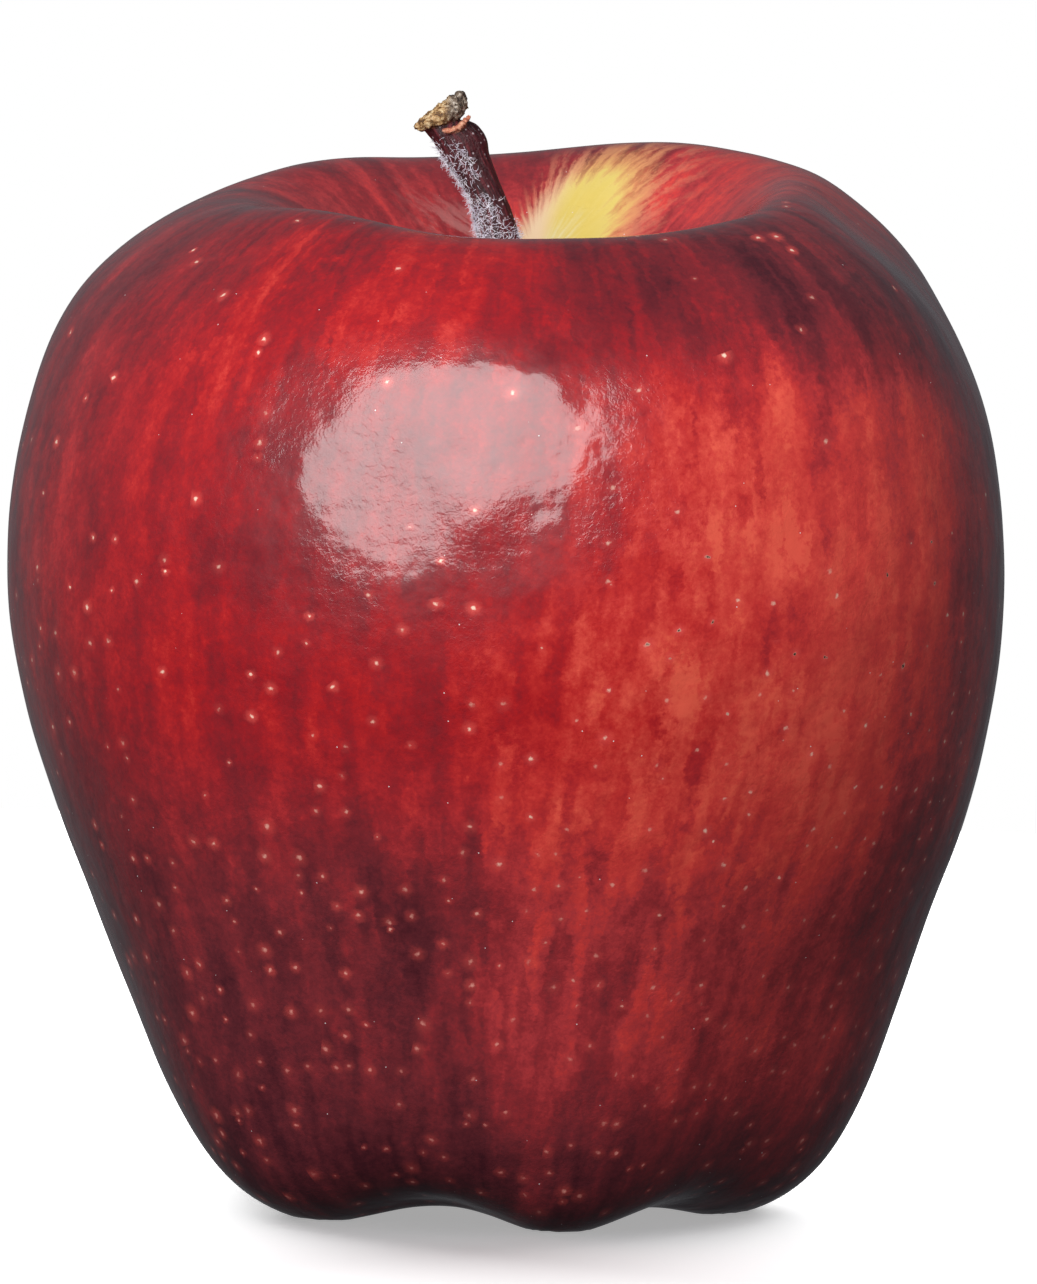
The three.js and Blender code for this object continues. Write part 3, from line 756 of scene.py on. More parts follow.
# On the ripe cheek some pores have corked over: a brown dot in a tan ring.
corky = add(skin_look, "ShaderNodeMath", {0: chance.outputs["Blue"], 1: 0.55}, operation="GREATER_THAN")
corky_here = add(skin_look, "ShaderNodeMath", {0: corky, 1: side_of(skin_look, 38, 22)}, operation="MULTIPLY")
corky_high = add(skin_look, "ShaderNodeMath", {
    0: corky_here, 1: band(skin_look, height_mm, 44, 64, 3),
}, operation="MULTIPLY")
cork = add(skin_look, "ShaderNodeMath", {
    0: dot_of(skin_look, 0.14, 0.20), 1: corky_high,
}, operation="MULTIPLY")
cork_sharp = add(skin_look, "ShaderNodeMath", {0: cork, 1: 1.8}, operation="MULTIPLY", use_clamp=True)
corked = add(skin_look, "ShaderNodeMix", {
    "Factor": cork_sharp, "A": pored, "B": from_hex("#4a3020"),
}, data_type="RGBA")
# A few grains of dust, a tenth of a millimetre wide.
grains = add(skin_look, "ShaderNodeTexVoronoi", {"Vector": place_mm, "Scale": 1 / 1.8})
dust = add(skin_look, "ShaderNodeMapRange", {
    "Value": grains.outputs["Distance"], "From Min": 0.022, "From Max": 0.034, "To Min": 0.9, "To Max": 0.0,
})
dotted = add(skin_look, "ShaderNodeMix", {
    "Factor": dust, "A": corked, "B": from_hex("#f4ecec"),
}, data_type="RGBA")
skin_look.links.new(next(one for one in dotted.outputs if one.enabled), skin_shader.inputs["Base Color"])

# %% Skin finish: sheen and wax wrinkles
# Wrinkles in wax are a few hundredths of a millimetre high and about half a millimetre apart.
uneven = add(skin_look, "ShaderNodeTexNoise", {
    "Vector": place_mm, "Scale": 1 / 5.0, "Detail": 5.0, "Roughness": 0.7,
})
roughness = add(skin_look, "ShaderNodeMapRange", {
    "Value": uneven, "From Min": 0.3, "From Max": 0.7, "To Min": 0.30, "To Max": 0.46,
})
skin_look.links.new(roughness.outputs[0], skin_shader.inputs["Roughness"])
wrinkles = add(skin_look, "ShaderNodeTexNoise", {
    "Vector": place_mm, "Scale": 1 / 0.40, "Detail": 3.0, "Roughness": 0.6, "Distortion": 0.7,
})
dimples = add(skin_look, "ShaderNodeTexNoise", {"Vector": place_mm, "Scale": 1 / 3.2, "Detail": 2.0})
rucked = add(skin_look, "ShaderNodeTexNoise", {"Vector": place_mm, "Scale": 1 / 6.0, "Detail": 1.0})
ruck_height = add(skin_look, "ShaderNodeMapRange", {
    "Value": rucked, "From Min": 0.40, "From Max": 0.62, "To Min": 0.010, "To Max": 0.034,
})
fine_relief = add(skin_look, "ShaderNodeMath", {0: wrinkles, 1: ruck_height}, operation="MULTIPLY")
relief = add(skin_look, "ShaderNodeMath", {0: dimples, 1: 0.15, 2: fine_relief}, operation="MULTIPLY_ADD")
# A few shallow hollows and swellings under the shoulder bend the big reflection out of shape.
# Middle in mm, radius in mm, and height in mm, which is negative for a hollow.
HOLLOWS = [
    ((-9.0, -35.0, 60.0), 8.0, -0.34), ((-2.0, -36.0, 58.3), 4.5, 0.25),
    ((2.6, -33.8, 68.0), 4.0, 0.12), ((-16.0, -31.0, 66.0), 5.0, -0.20),
]
for middle, radius, rise in HOLLOWS:
    from_middle = add(skin_look, "ShaderNodeVectorMath", {0: place_mm, 1: middle}, operation="SUBTRACT")
    squared = add(skin_look, "ShaderNodeVectorMath", {
        0: from_middle, 1: from_middle,
    }, operation="DOT_PRODUCT").outputs["Value"]
    inner = add(skin_look, "ShaderNodeMath", {
        0: squared, 1: -1 / radius ** 2, 2: 1.0,
    }, operation="MULTIPLY_ADD", use_clamp=True)
    bowl = add(skin_look, "ShaderNodeMath", {0: inner, 1: inner}, operation="MULTIPLY")
    relief = add(skin_look, "ShaderNodeMath", {0: bowl, 1: rise, 2: relief}, operation="MULTIPLY_ADD")
bumped = add(skin_look, "ShaderNodeBump", {"Height": relief, "Distance": MM, "Strength": 1.0})
skin_look.links.new(bumped.outputs["Normal"], skin_shader.inputs["Normal"])
skin_look.links.new(bumped.outputs["Normal"], skin_shader.inputs["Coat Normal"])
print(len(skin_look.nodes), "nodes in the skin's finish")

# %% [markdown]
# ## The stem
#
# The stem is last year's flower stalk, now wood under a thin maroon bark with fine lengthwise ridges.
# Where it was picked it broke from its spur. The break left a swollen head, and over it a crumbly cap
# that rises to a knob. A flake of inner bark is torn loose between the two.
#
# It is built from a few simple bodies: the stalk as rings between its left and right edges, the cap
# and the flake as tapered tubes. A voxel remesh melts them into one skin, as wet clay would join, and
# Geometry Nodes then roughen it.

# %% The stalk, the cap and the flake, in millimetres
# Height, left edge, right edge and half depth of the stalk. The upper edges were picked point by point
# and turned into millimetres by a small converter.
STALK = np.array([
    (60.0, -0.9, 2.6, 1.75), (65.5, -0.75, 2.45, 1.7), (70.0, -1.1, 2.1, 1.6), (74.0, -1.85, 1.4, 1.55),
    (77.5, -2.85, 0.48, 1.55), (79.6, -3.35, -0.2, 1.5), (80.7, -3.75, -0.7, 1.48), (81.8, -4.42, -1.2, 1.5),
    (83.1, -5.38, -1.72, 1.55), (84.1, -6.05, -2.1, 1.6), (85.0, -6.6, -2.25, 1.65), (85.6, -7.1, -2.5, 1.6),
    (86.0, -7.4, -2.8, 1.45), (86.4, -7.1, -3.2, 1.2), (86.7, -6.3, -3.9, 0.8),
])
# Points (x, y, z) and half sizes (in the picture's plane, front to back) of the cap and the flake.
CAP = np.array([
    (-8.0, -0.5, 86.0, 0.16, 0.3), (-7.5, -0.6, 86.2, 0.42, 0.8), (-6.8, -0.7, 86.6, 0.62, 1.15),
    (-5.9, -0.7, 87.05, 0.84, 1.25), (-5.1, -0.5, 87.6, 0.93, 1.15), (-4.75, -0.3, 88.2, 0.86, 1.0),
    (-4.65, -0.2, 88.6, 0.62, 0.75), (-4.7, -0.2, 88.9, 0.28, 0.3),
])
FLAKE = np.array([
    (-5.7, -1.5, 85.9, 0.1, 0.15), (-5.2, -1.65, 85.9, 0.15, 0.25), (-4.6, -1.65, 86.1, 0.19, 0.3),
    (-4.15, -1.4, 86.5, 0.24, 0.32), (-3.85, -1.0, 86.9, 0.2, 0.28), (-3.75, -0.7, 87.15, 0.1, 0.15),
])


def rounded(table, steps):
    """A smooth Catmull-Rom line through the rows of a table."""
    padded = np.vstack([2 * table[0] - table[1], table, 2 * table[-1] - table[-2]])
    place = np.linspace(0, len(table) - 1, steps)
    span = np.minimum(place.astype(int), len(table) - 2)
    t = (place - span)[:, None]
    a, b, c, d = (padded[span + k] for k in range(4))
    squared, cubed = 2 * a - 5 * b + 4 * c - d, 3 * b - a - 3 * c + d
    return 0.5 * (2 * b + (c - a) * t + squared * t ** 2 + cubed * t ** 3)


def tube_points(line, across, deep, around):
    """Rings round a line. across and deep are the vectors of each ring's two half sizes."""
    turn = np.linspace(0, math.tau, around, endpoint=False)
    ring = np.cos(turn)[None, :, None] * across[:, None, :] + np.sin(turn)[None, :, None] * deep[:, None, :]
    return (line[:, None, :] + ring).reshape(-1, 3)


def tube_faces(rings, around, start=0):
    """The side faces between rings of points, and one face over each end."""
    faces = []
    for k in range(rings - 1):
        for j in range(around):
            a, b = start + k * around + j, start + k * around + (j + 1) % around
            faces.append((a, b, b + around, a + around))
    faces.append(tuple(start + j for j in reversed(range(around))))
    faces.append(tuple(start + (rings - 1) * around + j for j in range(around)))
    return faces


def bent_tube(table, steps):
    """Points of a tube along a table's line: the first half size lies in the XZ plane, the second along Y."""
    rows = rounded(table, steps)
    line = rows[:, :3]
    along = np.gradient(line, axis=0)
    along /= np.linalg.norm(along, axis=1)[:, None]
    upward = np.stack([-along[:, 2], np.zeros(steps), along[:, 0]], axis=1)
    upward /= np.linalg.norm(upward, axis=1)[:, None]
    deep = np.tile([0.0, 1.0, 0.0], (steps, 1)) * rows[:, 4:5]
    return tube_points(line, upward * rows[:, 3:4], deep, 24)


# %% Melt the bodies into one
rows = rounded(STALK, 90)
stalk_line = np.stack([(rows[:, 1] + rows[:, 2]) / 2, 0 * rows[:, 0], rows[:, 0]], axis=1)
stalk_half = (rows[:, 2] - rows[:, 1]) / 2
across = np.stack([stalk_half, 0 * stalk_half, 0 * stalk_half], axis=1)
deep = np.stack([0 * stalk_half, rows[:, 3], 0 * stalk_half], axis=1)
stem_points = [tube_points(stalk_line, across, deep, 40)]
stem_faces = tube_faces(90, 40)
for table in (CAP, FLAKE):
    stem_faces += tube_faces(40, 24, sum(len(points) for points in stem_points))
    stem_points.append(bent_tube(table, 40))
stem_bodies = object_from("stem_bodies", np.vstack(stem_points), stem_faces)
melt = stem_bodies.modifiers.new("melt", "REMESH")
melt.mode, melt.voxel_size = "VOXEL", 0.11
soften = stem_bodies.modifiers.new("soften", "SMOOTH")
soften.factor, soften.iterations = 0.5, 2
melted = bpy.data.meshes.new_from_object(stem_bodies.evaluated_get(bpy.context.evaluated_depsgraph_get()))
bpy.data.objects.remove(stem_bodies)
melted_points = np.empty(len(melted.vertices) * 3)
melted.vertices.foreach_get("co", melted_points)
melted_points = melted_points.reshape(-1, 3)
print("stem:", len(melted.polygons), "faces after the remesh")

# %% What each point of the stem is: bark, cap or flake, and how woolly
def nearness(points, table):
    """How near points lie to a bent tube: 1 on its surface, and less inside it."""
    rows = rounded(table, 60)
    apart = points[:, None, :] - rows[None, :, :3]
    sideways = np.hypot(apart[:, :, 0], apart[:, :, 2]) / rows[None, :, 3]
    return np.hypot(sideways, apart[:, :, 1] / rows[None, :, 4]).min(axis=1)


def eased(value, low, high):
    """0 below low, 1 above high and a smooth step between."""
    t = np.clip((value - low) / (high - low), 0, 1)
    return t * t * (3 - 2 * t)


height_there = melted_points[:, 2]
middle_x = np.interp(height_there, rows[:, 0], stalk_line[:, 0])
round_stem = np.arctan2(melted_points[:, 0] - middle_x, -melted_points[:, 1])
cap_share = 1 - eased(nearness(melted_points, CAP), 1.15, 1.5)
cap_share *= eased(height_there - (85.6 + 0.35 * np.clip(melted_points[:, 0] + 7.5, 0, 4)), 0.0, 0.4)
flake_share = 1 - eased(nearness(melted_points, FLAKE), 1.3, 1.8)
bark_place = np.stack([np.sin(round_stem) * 1.6, -np.cos(round_stem) * 1.6, height_there], axis=1)
leftward = eased(np.cos(round_stem + math.radians(100)), 0.35, 0.85) * (1 - eased(height_there, 83.6, 85.4))
front_tuft = eased(
    np.cos(round_stem + math.radians(8)), 0.86, 0.97,
) * eased(height_there, 81.4, 82.4) * (1 - eased(height_there, 84.4, 85.2))
lower = eased(np.cos(round_stem + math.radians(45)), 0.1, 0.6) * (1 - eased(height_there, 79.4, 81.8))
foot_ring = 1 - eased(height_there, 76.5, 79.5)
woolly = np.clip(
    np.maximum.reduce([leftward, 0.8 * front_tuft, lower, 0.85 * foot_ring]), 0, 1,
) * (1 - cap_share)
stem_seed = object_from(
    "stem_seed", melted_points * MM, [tuple(face.vertices) for face in melted.polygons],
    {"bark": bark_place, "cap": cap_share, "flake": flake_share, "woolly": woolly},
)
print("cap:", int(cap_share.sum()), "points, flake:", int(flake_share.sum()), "points")

# %% Stem tree: ridged bark and a crumbled cap
BARK = bpy.data.materials.new("stem_bark_and_torn_wood")
STEM_SIZES = {
    "Ridge height": 0.10, "Ridge width": 0.45, "Ridge length": 5.0, "Crumb height": 0.5, "Crumb size": 0.6,
    "Bark": BARK,
}
stem_tree, stem_in = open_tree("stem relief", STEM_SIZES)
size = stem_in.outputs
bark_field = add(stem_tree, "GeometryNodeInputNamedAttribute", {"Name": "bark"}, data_type="FLOAT_VECTOR")
stretch = add(stem_tree, "ShaderNodeCombineXYZ", {
    "X": size["Ridge width"], "Y": size["Ridge width"], "Z": size["Ridge length"],
})
ridge_place = add(stem_tree, "ShaderNodeVectorMath", {0: bark_field, 1: stretch}, operation="DIVIDE")
ridges = add(stem_tree, "ShaderNodeTexNoise", {"Vector": ridge_place, "Scale": 1.0, "Detail": 3.0})
ridge_level = add(stem_tree, "ShaderNodeMath", {0: ridges, 1: 0.5}, operation="SUBTRACT")
ridge_lift = add(stem_tree, "ShaderNodeMath", {0: ridge_level, 1: size["Ridge height"]}, operation="MULTIPLY")
here_mm = add(stem_tree, "ShaderNodeVectorMath", {
    0: add(stem_tree, "GeometryNodeInputPosition"), "Scale": MM_PER_M,
}, operation="SCALE")
crumb_rate = add(stem_tree, "ShaderNodeMath", {0: 1.0, 1: size["Crumb size"]}, operation="DIVIDE")
crumbs = add(stem_tree, "ShaderNodeTexNoise", {
    "Vector": here_mm, "Scale": crumb_rate, "Detail": 4.0, "Roughness": 0.65, "Distortion": 0.8,
})
crumb_level = add(stem_tree, "ShaderNodeMath", {0: crumbs, 1: 0.5}, operation="SUBTRACT")
crumb_lift = add(stem_tree, "ShaderNodeMath", {0: crumb_level, 1: size["Crumb height"]}, operation="MULTIPLY")
cap_field = add(stem_tree, "GeometryNodeInputNamedAttribute", {"Name": "cap"}, data_type="FLOAT")
flake_field = add(stem_tree, "GeometryNodeInputNamedAttribute", {"Name": "flake"}, data_type="FLOAT")
torn = add(stem_tree, "ShaderNodeMath", {0: cap_field, 1: flake_field}, operation="MAXIMUM")
crumbled = add(stem_tree, "ShaderNodeMath", {0: crumb_lift, 1: torn}, operation="MULTIPLY")
all_lift = add(stem_tree, "ShaderNodeMath", {0: ridge_lift, 1: crumbled}, operation="ADD")
lift_m = add(stem_tree, "ShaderNodeMath", {0: all_lift, 1: 2 * MM}, operation="MULTIPLY")
push = add(stem_tree, "ShaderNodeVectorMath", {
    0: add(stem_tree, "GeometryNodeInputNormal"), "Scale": lift_m,
}, operation="SCALE")
rough_stem = add(stem_tree, "GeometryNodeSetPosition", {"Geometry": size["Geometry"], "Offset": push})
close_tree(stem_tree, add(stem_tree, "GeometryNodeSetShadeSmooth", {"Geometry": rough_stem}), size["Bark"])
stem = grow("stem_wood", stem_seed, stem_tree, STEM_SIZES)
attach(stem, "root")
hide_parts("stem")

# %% [markdown]
# ## The down on the stem
#
# Fine white hairs cover the lower stem and its shaded side, matted like felt, with a few that stand
# out. Geometry Nodes scatter them: points on the bark, as many as the stored "woolly" value asks for,
# and on each point one bent, tapered hair of a few faces, leaning its own way.

# %% Down tree
DOWN = bpy.data.materials.new("white_plant_down_with_painted_glow")
DOWN_SIZES = {
    "Hairs per mm2": 34.0, "Length": 0.60, "Thickness": 0.05, "Least lean": 0.5, "Most lean": 1.5, "Seed": 5,
    "Down": DOWN,
}


def down_tree(name, sizes):
    """Hairs scattered over a surface, where its value "woolly" is high."""
    tree, tree_in = open_tree(name, sizes)
    size = tree_in.outputs
    wool = add(tree, "GeometryNodeInputNamedAttribute", {"Name": "woolly"}, data_type="FLOAT")
    per_m2 = add(tree, "ShaderNodeMath", {0: size["Hairs per mm2"], 1: 1e6}, operation="MULTIPLY")
    density = add(tree, "ShaderNodeMath", {0: wool, 1: per_m2}, operation="MULTIPLY")
    points = add(tree, "GeometryNodeDistributePointsOnFaces", {
        "Mesh": size["Geometry"], "Density": density, "Seed": size["Seed"],
    })
    length_m = add(tree, "ShaderNodeMath", {0: size["Length"], 1: MM}, operation="MULTIPLY")
    middle = add(tree, "ShaderNodeCombineXYZ", {
        "X": add(tree, "ShaderNodeMath", {0: length_m, 1: 0.06}, operation="MULTIPLY"),
        "Z": add(tree, "ShaderNodeMath", {0: length_m, 1: 0.5}, operation="MULTIPLY"),
    })
    tip_end = add(tree, "ShaderNodeCombineXYZ", {
        "X": add(tree, "ShaderNodeMath", {0: length_m, 1: 0.42}, operation="MULTIPLY"),
        "Z": add(tree, "ShaderNodeMath", {0: length_m, 1: 0.9}, operation="MULTIPLY"),
    })
    bend = add(tree, "GeometryNodeCurveQuadraticBezier", {
        "Resolution": 4, "Start": (0, 0, 0), "Middle": middle, "End": tip_end,
    })
    along = add(tree, "GeometryNodeSplineParameter").outputs["Factor"]
    taper = add(tree, "ShaderNodeMapRange", {"Value": along, "To Min": 1.0, "To Max": 0.25})
    half_thick = add(tree, "ShaderNodeMath", {0: size["Thickness"], 1: 0.5 * MM}, operation="MULTIPLY")
    hair_radius = add(tree, "ShaderNodeMath", {0: taper, 1: half_thick}, operation="MULTIPLY")
    section = add(tree, "GeometryNodeCurvePrimitiveCircle", {"Resolution": 3, "Radius": 1.0})
    hair = add(tree, "GeometryNodeCurveToMesh", {
        "Curve": bend, "Profile Curve": section, "Scale": hair_radius, "Fill Caps": True,
    })
    spin = add(tree, "FunctionNodeRandomValue", {"Max": math.tau, "Seed": size["Seed"]}, data_type="FLOAT")
    turn_to = add(tree, "ShaderNodeCombineXYZ", {"Z": spin})
    spun = add(tree, "FunctionNodeRotateRotation", {
        0: points.outputs["Rotation"], 1: turn_to,
    }, rotation_space="LOCAL")
    seed_two = add(tree, "FunctionNodeIntegerMath", {0: size["Seed"], 1: 7}, operation="ADD")
    lean = add(tree, "FunctionNodeRandomValue", {
        "Min": size["Least lean"], "Max": size["Most lean"], "Seed": seed_two,
    }, data_type="FLOAT")
    lean_to = add(tree, "ShaderNodeCombineXYZ", {"X": lean})
    leaned = add(tree, "FunctionNodeRotateRotation", {0: spun, 1: lean_to}, rotation_space="LOCAL")
    seed_three = add(tree, "FunctionNodeIntegerMath", {0: size["Seed"], 1: 13}, operation="ADD")
    own_scale = add(tree, "FunctionNodeRandomValue", {
        "Min": 0.6, "Max": 1.25, "Seed": seed_three,
    }, data_type="FLOAT")
    hairs = add(tree, "GeometryNodeInstanceOnPoints", {
        "Points": points.outputs["Points"], "Instance": hair, "Rotation": leaned, "Scale": own_scale,
    })
    close_tree(tree, hairs, size["Down"])
    return tree


def seed_copy(piece):
    """A copy of a finished piece for a tree to grow on."""
    copy = bpy.data.objects.new(piece.name + "_seed", piece.data.copy())
    bpy.context.scene.collection.objects.link(copy)
    return copy


stem_down = grow("stem_down", seed_copy(stem), down_tree("stem down", DOWN_SIZES), DOWN_SIZES)
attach(stem_down, "root")

# %% [markdown]
# ## Bark, torn wood and down
#
# The bark is dry and dull, almost black where it is thick and wine red where it is thin. The cap is
# dead cork: ochre on the broken face, grey on the knob. The flake is fresh inner bark, orange pink.
# The down is dead hair, white, with a faint painted lilac for the sky it reflects and a faint painted glow
# for the light that scatters through it.

# %% Finish of the stem
bark_look, bark_shader = start_finish(BARK, IOR=1.5)
place_mm = add(bark_look, "ShaderNodeVectorMath", {
    0: add(bark_look, "ShaderNodeTexCoord").outputs["Object"], "Scale": MM_PER_M,
}, operation="SCALE")
bark_grain = add(bark_look, "ShaderNodeAttribute", attribute_name="bark").outputs["Vector"]
cap_there = add(bark_look, "ShaderNodeAttribute", attribute_name="cap").outputs["Fac"]
flake_there = add(bark_look, "ShaderNodeAttribute", attribute_name="flake").outputs["Fac"]
fibre_place = add(bark_look, "ShaderNodeVectorMath", {
    0: bark_grain, 1: (1 / 0.3, 1 / 0.3, 1 / 2.5),
}, operation="MULTIPLY")
fibres = add(bark_look, "ShaderNodeTexNoise", {
    "Vector": fibre_place, "Scale": 1.0, "Detail": 4.0, "Roughness": 0.65,
})
bark_colour = set_ramp(add(bark_look, "ShaderNodeValToRGB", {"Fac": fibres}), [
    (0.32, "#1c070b"), (0.5, "#46121a"), (0.62, "#6a1f28"), (0.74, "#8a5048"), (0.84, "#b49a86"),
])
crumb = add(bark_look, "ShaderNodeTexNoise", {
    "Vector": place_mm, "Scale": 1 / 0.45, "Detail": 5.0, "Roughness": 0.7, "Distortion": 0.6,
})
cork_colour = set_ramp(add(bark_look, "ShaderNodeValToRGB", {"Fac": crumb}), [
    (0.32, "#2e1c12"), (0.43, "#7a5634"), (0.50, "#b98f5c"), (0.58, "#e2c596"), (0.72, "#f8ecd2"),
])
knob_colour = set_ramp(add(bark_look, "ShaderNodeValToRGB", {"Fac": crumb}), [
    (0.34, "#1c1512"), (0.45, "#54443a"), (0.54, "#8c7a68"), (0.66, "#d8cdc0"),
])
inner_colour = set_ramp(add(bark_look, "ShaderNodeValToRGB", {"Fac": crumb}), [
    (0.3, "#8a4030"), (0.45, "#c9785c"), (0.6, "#e6a888"), (0.75, "#f2d4b4"),
])
up_the_cap = add(bark_look, "ShaderNodeSeparateXYZ", {"Vector": place_mm})
to_knob = add(bark_look, "ShaderNodeMapRange", {
    "Value": up_the_cap.outputs["X"], "From Min": -5.9, "From Max": -5.1,
}, interpolation_type="SMOOTHSTEP")
cap_colour = add(bark_look, "ShaderNodeMix", {
    "Factor": to_knob, "A": cork_colour, "B": knob_colour,
}, data_type="RGBA")
# Pale dots a tenth of a millimetre wide are painted glints on the bark, where its loose scales catch the
# light.
scales = add(bark_look, "ShaderNodeTexVoronoi", {"Vector": place_mm, "Scale": 1 / 0.5})
painted_glint = add(bark_look, "ShaderNodeMapRange", {
    "Value": scales.outputs["Distance"], "From Min": 0.10, "From Max": 0.24, "To Min": 0.8, "To Max": 0.0,
})
bark_with_painted_glints = add(bark_look, "ShaderNodeMix", {
    "Factor": painted_glint, "A": bark_colour, "B": from_hex("#c8b8bc"),
}, data_type="RGBA")
with_cap = add(bark_look, "ShaderNodeMix", {
    "Factor": cap_there, "A": bark_with_painted_glints, "B": cap_colour,
}, data_type="RGBA")
with_flake = add(bark_look, "ShaderNodeMix", {
    "Factor": flake_there, "A": with_cap, "B": inner_colour,
}, data_type="RGBA")
bark_look.links.new(next(one for one in with_flake.outputs if one.enabled), bark_shader.inputs["Base Color"])
dryness = add(bark_look, "ShaderNodeMapRange", {"Value": fibres, "To Min": 0.28, "To Max": 0.75})
bark_look.links.new(dryness.outputs[0], bark_shader.inputs["Roughness"])
fissures = add(bark_look, "ShaderNodeMath", {0: fibres, 1: crumb}, operation="ADD")
bark_bump = add(bark_look, "ShaderNodeBump", {"Height": fissures, "Distance": 0.13 * MM, "Strength": 1.0})
bark_look.links.new(bark_bump.outputs["Normal"], bark_shader.inputs["Normal"])

# %% Finish of the down
# The down's faint emission is a painted glow: it stands in for the light that scatters through the hairs.
down_look, down_shader = start_finish(
    DOWN, Roughness=0.8, IOR=1.45, Emission_Color=(0.86, 0.84, 0.92, 1), Emission_Strength=0.16,
)
down_place = add(down_look, "ShaderNodeVectorMath", {
    0: add(down_look, "ShaderNodeTexCoord").outputs["Object"], "Scale": MM_PER_M,
}, operation="SCALE")
clumps = add(down_look, "ShaderNodeTexNoise", {"Vector": down_place, "Scale": 1 / 0.8, "Detail": 3.0})
# The faint lilac in the white is a painted reflection of the sky.
down_white_with_painted_lilac = set_ramp(
    add(down_look, "ShaderNodeValToRGB", {"Fac": clumps}),
    [(0.3, "#bdb0c0"), (0.5, "#e6e0ec"), (0.7, "#fbf8fd")],
)
down_look.links.new(down_white_with_painted_lilac.outputs["Color"], down_shader.inputs["Base Color"])

# %% [markdown]
# ## The eye
#
# Under the fruit, in the basin, the flower's dried remains are the eye: five sepals that stand round a
# small tube and curl back at their tips, and inside them the withered stamens. A sepal is a thin woolly
# leaf, so one is made in code as a closed strip along its bent midline, and Geometry Nodes set five of
# them round the eye, vary their size and crinkle them as they dried.

# %% One sepal, in millimetres from the eye's own axis
# Distance from the axis, height over the basin's floor, half width and half thickness.
SEPAL = np.array([
    (3.35, -0.6, 1.45, 0.20), (3.1, -1.4, 1.55, 0.18), (2.7, -2.4, 1.35, 0.16), (2.3, -3.5, 1.15, 0.15),
    (2.25, -4.5, 0.95, 0.13), (2.9, -5.5, 0.65, 0.11), (3.7, -6.05, 0.35, 0.09), (4.35, -6.2, 0.08, 0.05),
])
EYE_MIDDLE = (-0.16, 0.0, 10.32)
sepal_rows = rounded(SEPAL, 30)
midline = np.stack([sepal_rows[:, 0], 0 * sepal_rows[:, 0], sepal_rows[:, 1]], axis=1)
along = np.gradient(midline, axis=0)
along /= np.linalg.norm(along, axis=1)[:, None]
thickness_way = np.stack([-along[:, 2], 0 * along[:, 0], along[:, 0]], axis=1)
width_way = np.tile([0.0, 1.0, 0.0], (30, 1))
turn = np.linspace(0, math.tau, 16, endpoint=False)
ring_across = np.cos(turn)[None, :, None] * (width_way * sepal_rows[:, 2:3])[:, None, :]
ring_deep = np.sin(turn)[None, :, None] * (thickness_way * sepal_rows[:, 3:4])[:, None, :]
cupped = -0.35 * (np.cos(turn) ** 2)[None, :, None] * (thickness_way * sepal_rows[:, 2:3])[:, None, :]
sepal_points = (midline[:, None, :] + ring_across + ring_deep + cupped).reshape(-1, 3)
sepal_seed = object_from(
    "sepal_seed", sepal_points * MM, tube_faces(30, 16),
    {"up_the_leaf": np.repeat(np.linspace(0, 1, 30), 16)},
)

# %% Sepal tree: five leaves round the eye, each crinkled its own way
LEAF = bpy.data.materials.new("dried_woolly_sepal")
SEPAL_SIZES = {
    "Count": 5, "First azimuth": math.radians(54 - 90), "Crinkle height": 0.55, "Crinkle size": 1.1,
    "Seed": 3, "Leaf": LEAF,
}
sepal_tree, sepal_in = open_tree("five sepals", SEPAL_SIZES)
size = sepal_in.outputs
stations = add(sepal_tree, "GeometryNodePoints", {"Count": size["Count"]})
step = add(sepal_tree, "ShaderNodeMath", {0: math.tau, 1: size["Count"]}, operation="DIVIDE")
number = add(sepal_tree, "GeometryNodeInputIndex")
facing = add(sepal_tree, "ShaderNodeMath", {
    0: number, 1: step, 2: size["First azimuth"],
}, operation="MULTIPLY_ADD")
own_size = add(sepal_tree, "FunctionNodeRandomValue", {
    "Min": 0.9, "Max": 1.06, "Seed": size["Seed"],
}, data_type="FLOAT")
leaves = add(sepal_tree, "GeometryNodeInstanceOnPoints", {
    "Points": stations, "Instance": size["Geometry"],
    "Rotation": add(sepal_tree, "ShaderNodeCombineXYZ", {"Z": facing}), "Scale": own_size,
})
real_leaves = add(sepal_tree, "GeometryNodeRealizeInstances", {"Geometry": leaves})
leaf_mm = add(sepal_tree, "ShaderNodeVectorMath", {
    0: add(sepal_tree, "GeometryNodeInputPosition"), "Scale": MM_PER_M,
}, operation="SCALE")
crinkle_rate = add(sepal_tree, "ShaderNodeMath", {0: 1.0, 1: size["Crinkle size"]}, operation="DIVIDE")
crinkle = add(sepal_tree, "ShaderNodeTexNoise", {"Vector": leaf_mm, "Scale": crinkle_rate, "Detail": 2.0})
crinkle_way = add(sepal_tree, "ShaderNodeVectorMath", {
    0: crinkle.outputs["Color"], 1: (0.5, 0.5, 0.5),
}, operation="SUBTRACT")
crinkle_lift = add(sepal_tree, "ShaderNodeMath", {0: size["Crinkle height"], 1: 2 * MM}, operation="MULTIPLY")
up_leaf = add(sepal_tree, "GeometryNodeInputNamedAttribute", {"Name": "up_the_leaf"}, data_type="FLOAT")
freer = add(sepal_tree, "ShaderNodeMath", {0: crinkle_lift, 1: up_leaf}, operation="MULTIPLY")
crinkle_push = add(sepal_tree, "ShaderNodeVectorMath", {0: crinkle_way, "Scale": freer}, operation="SCALE")
crinkled = add(sepal_tree, "GeometryNodeSetPosition", {"Geometry": real_leaves, "Offset": crinkle_push})
